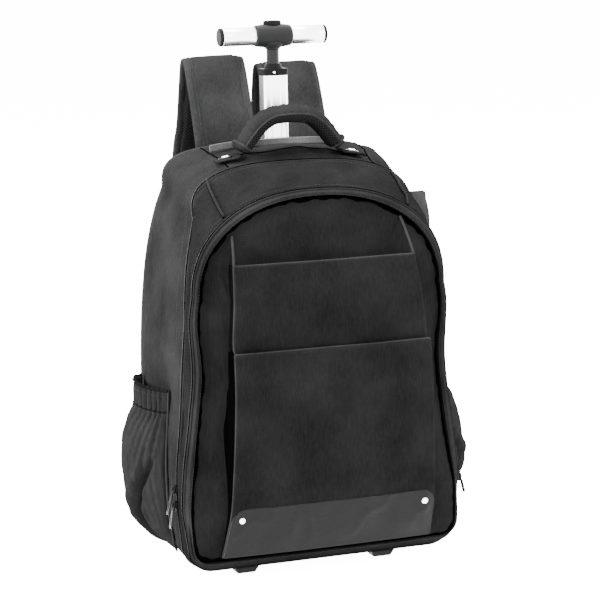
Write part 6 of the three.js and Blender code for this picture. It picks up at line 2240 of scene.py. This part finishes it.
    def button(self) -> None:
        """The oval release button."""
        low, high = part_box("push_button")
        turn = np.linspace(0, 2 * math.pi, 48, endpoint=False)
        half = np.array([(high.x - low.x) / 2, (high.y - low.y) / 2])
        rings = []
        for spread, z in [(1, low.z), (1, high.z - 2.2 * MM), (0.985, high.z - 1.4 * MM),
                          (0.93, high.z - 0.75 * MM),
                          (0.82, high.z - 0.3 * MM), (0.55, high.z - 0.05 * MM), (0.3, high.z)]:
            x, y = half[0] * spread * np.cos(turn), half[1] * spread * np.sin(turn) + self.pole_y
            rings.append(np.stack([x, y, np.full(48, z)], axis=1))
        place(closed_rings("push_button_cap", np.array(rings)), BLACK_PLASTIC, "black_plastic", "push_button",
              body="button")


# Wheels


@dataclass
class Wheel:
    """One wheel: a grooved tyre on a spoked hub."""

    side: str
    grooves: int = 40

    def build(self) -> None:
        """Makes the tyre and the hub."""
        low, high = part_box(f"tyre_{self.side}")
        centre = np.array((low + high) / 2)
        r, half = (high.z - low.z) / 2, (high.x - low.x) / 2
        body = f"wheel_{self.side}"
        profile = [(r - 7 * MM, -half + 1.2 * MM), (r - 5 * MM, -half + 0.3 * MM),
                   (r - 3.4 * MM, -half + 0.2 * MM),
                   (r - 1.6 * MM, -half + 1.2 * MM), (r - 0.3 * MM, -half + 3.2 * MM), (r, -half + 5.4 * MM),
                   (r, -1.6 * MM), (r - 1 * MM, -1 * MM), (r - 1 * MM, 1 * MM), (r, 1.6 * MM),
                   (r, half - 5.4 * MM), (r - 0.3 * MM, half - 3.2 * MM), (r - 1.6 * MM, half - 1.2 * MM),
                   (r - 3.4 * MM, half - 0.2 * MM), (r - 5 * MM, half - 0.3 * MM),
                   (r - 7 * MM, half - 1.2 * MM)]
        tyre = hollow_lathe(f"tyre_{self.side}_rubber", profile, centre, RIGHT, 96)
        place(tyre, WHEEL_RUBBER, "wheel_rubber", f"tyre_{self.side}", body=body)
        self.hub(centre, r - 7.3 * MM, half - 1 * MM, body)

    def hub(self, centre: np.ndarray, rim: float, half: float, body: str) -> None:
        """The moulded hub with its spokes."""
        wheel = hollow_lathe("rim", [(rim - 3 * MM, -half), (rim, -half), (rim, half), (rim - 3 * MM, half)],
                             centre, RIGHT, 72)
        boss = hollow_lathe("boss",
                            [(3.4 * MM, -half), (7.4 * MM, -half), (7.4 * MM, half), (3.4 * MM, half)],
                            centre, RIGHT, 48)
        web = hollow_lathe("web",
                           [(7 * MM, -1.5 * MM), (rim - 2.5 * MM, -1.5 * MM), (rim - 2.5 * MM, 1.5 * MM),
                                   (7 * MM, 1.5 * MM)], centre, RIGHT, 72)
        spokes = []
        for k in range(6):
            angle = k * math.pi / 3 + 0.2
            outward_ = np.array([0, math.cos(angle), math.sin(angle)])
            across = np.cross(RIGHT, outward_)
            spokes.append(prism(f"spoke{k}", rounded(2.2 * MM, 2 * half - 3 * MM, 0.9 * MM), 7 * MM,
                                rim - 2.5 * MM,
                                (across, RIGHT, outward_)))
            spokes[-1].data.transform(Matrix.Translation(centre))
        core = joined(f"wheel_hub_{self.side}_moulding", wheel, boss, web, *spokes)
        place(bevelled(core, 0.4 * MM, 2), GREY_PLASTIC, "grey_plastic", f"wheel_hub_{self.side}", body=body)


@dataclass
class Undercarriage:
    """The hard pieces that keep their own solids and get a finish and softer edges."""

    edges: dict = field(default_factory=lambda: {
        "wheel_housing_left": (BLACK_PLASTIC, "black_plastic", 1.0 * MM),
        "wheel_housing_right": (BLACK_PLASTIC, "black_plastic", 1.0 * MM),
        "axle_left": (CHROME, "chrome_trim", 0.4 * MM),
        "axle_right": (CHROME, "chrome_trim", 0.4 * MM),
        "guide_tube": (BLACK_PLASTIC, "black_plastic", 0.4 * MM),
        "base_plate": (BLACK_PLASTIC, "black_plastic", 0.9 * MM),
        "foot_left": (FOOT_RUBBER, "foot_rubber", 1.6 * MM),
        "foot_right": (FOOT_RUBBER, "foot_rubber", 1.6 * MM),
    })

    def build(self) -> None:
        """Dresses the solids."""
        for name, (finish, slot, edge) in self.edges.items():
            node = frame["nodes"][name]
            dress(node, finish)
            with_modifier(node, "WELD", merge_threshold=0.01 * MM)
            bevelled(node, edge)
        ribs = Row(Bead.RIB, 5 * MM, (1.4 * MM, 19 * MM, 1.2 * MM), FOOT_RUBBER)
        paths = []
        for side in ("left", "right"):
            low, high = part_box(f"foot_{side}")
            x = np.linspace(low.x + 3 * MM, high.x - 3 * MM, 12)
            line = np.stack([x, np.full(12, (low.y + high.y) / 2), np.full(12, high.z - 0.4 * MM)], axis=1)
            paths.append((line, UP, False))
        place(ribs.along("foot_ribs", paths), FOOT_RUBBER, "foot_rubber")


# Studio


@dataclass
class Studio:
    """The camera, the lights and the pale floor."""

    eye: tuple[float, float, float] = (-0.7837, -2.2043, 0.6643)
    azimuth: float = 20.0
    elevation: float = 9.5
    roll: float = 1.2
    lens: float = 132.0
    backdrop: float = 16.0
    ambient: float = 0.14
    gleam: float = 8.0
    floor_glare: float = 8.0
    floor_glow: float = 14.0
    lamps: tuple = (
        ("left", (-2.6, -0.2, 1.3), (0, 0, 0.25), 1.3, 95),
        ("top", (0.0, 0.1, 2.6), (0, 0, 0.3), 1.3, 70),
        ("front", (-0.6, -3.2, 1.8), (0, 0, 0.25), 1.6, 34),
        ("right", (2.6, -1.0, 1.1), (0, 0, 0.25), 1.2, 60),
    )

    def camera(self) -> None:
        """The camera at the photograph's place."""
        az, el, roll = (math.radians(a) for a in (self.azimuth, self.elevation, self.roll))
        ahead = np.array([math.sin(az) * math.cos(el), math.cos(az) * math.cos(el), -math.sin(el)])
        right = np.array([math.cos(az), -math.sin(az), 0.0])
        up = np.cross(right, ahead)
        right, up = right * math.cos(roll) - up * math.sin(roll), up * math.cos(roll) + right * math.sin(roll)
        data = bpy.data.cameras.new("camera")
        data.lens, data.sensor_width = self.lens, 36.0
        data.clip_start, data.clip_end = 0.1, 50.0
        obj = bpy.data.objects.new("camera", data)
        turn = Matrix([right, up, -ahead]).transposed()
        obj.matrix_world = Matrix.Translation(self.eye) @ turn.to_4x4()
        bpy.context.scene.collection.objects.link(obj)
        bpy.context.scene.camera = obj

    def lamp(self, name: str, where: tuple, aim: tuple, size: float, power: float) -> None:
        """One soft box."""
        data = bpy.data.lights.new(name, "AREA")
        data.shape, data.size, data.energy = "DISK", size, power
        obj = bpy.data.objects.new(name, data)
        direction = Vector(aim) - Vector(where)
        obj.matrix_world = Matrix.Translation(where) @ direction.to_track_quat("-Z", "Y").to_matrix().to_4x4()
        bpy.context.scene.collection.objects.link(obj)

    def build(self) -> None:
        """Sets the studio up."""
        self.camera()
        world = bpy.data.worlds.new("studio")
        bpy.context.scene.world = world
        world.use_nodes = True
        world.node_tree.nodes.clear()
        nodes = Nodes(world.node_tree)
        ray = nodes.add("ShaderNodeLightPath").outputs
        seen, mirrored = Value(nodes, ray["Is Camera Ray"]), Value(nodes, ray["Is Glossy Ray"])
        glow = seen * self.backdrop + mirrored * self.gleam + self.ambient
        light = nodes.add("ShaderNodeBackground", {}, {"Color": (1, 1, 1, 1), "Strength": glow})
        nodes.add("ShaderNodeOutputWorld", {}, {"Surface": light})
        for lamp in self.lamps:
            self.lamp(*lamp)
        self.floor()

    def floor(self) -> None:
        """The pale floor, which the camera sees brighter than it lights the bag."""
        size = 40.0
        corners = np.array([(-size, -size, 0), (size, -size, 0), (size, size, 0), (-size, size, 0)])
        floor = make_mesh("floor", corners - [0, 0, 0.2 * MM], [(0, 1, 2, 3)])
        material = bpy.data.materials.new("floor")
        material.use_nodes = True
        material.node_tree.nodes.clear()
        nodes = Nodes(material.node_tree)
        ray = nodes.add("ShaderNodeLightPath").outputs
        seen, mirrored = Value(nodes, ray["Is Camera Ray"]), Value(nodes, ray["Is Glossy Ray"])
        glare = nodes.add("ShaderNodeCombineXYZ", {}, dict.fromkeys(
            range(3), seen * (self.floor_glare - 0.8) + 0.8))
        white = nodes.add("ShaderNodeEmission", {}, {
            "Strength": seen * self.floor_glow + mirrored * self.gleam})
        bright = nodes.add("ShaderNodeBsdfDiffuse", {}, {"Color": glare})
        mix = nodes.add("ShaderNodeAddShader", {}, {0: bright.outputs[0], 1: white.outputs[0]})
        nodes.add("ShaderNodeOutputMaterial", {}, {"Surface": mix})
        floor.data.materials.append(material)


def main() -> None:
    """Builds the backpack and its studio."""
    Studio().build()
    form = Form().measure()
    body = ClothBody(form)
    body.build()
    lower = SlotPocket(body, "lower_pocket", LOWER_POCKET)
    upper = SlotPocket(body, "upper_pocket", UPPER_POCKET, seed=35.0, painted_shadow_reach=0.0)
    lower.build()
    upper.build()
    PanelBinding(body, upper).build()
    LeatherGuard(lower).build()
    for side, sign in (("left", -1), ("right", 1)):
        SidePocket(form, side, sign, bulge=(38 if sign > 0 else 32) * MM).build()
        ShoulderStrap(form, side, sign, 92 * MM * (0.9 if sign > 0 else 1)).build()
        Wheel(side).build()
    BackPanel(form).build()
    GrabHandle(form).build()
    Trims(form).build()
    for name in SLIDERS:
        Slider(form, name).build()
    Trolley(form.pole_y).build()
    Undercarriage().build()


if __name__ == "__main__":
    main()
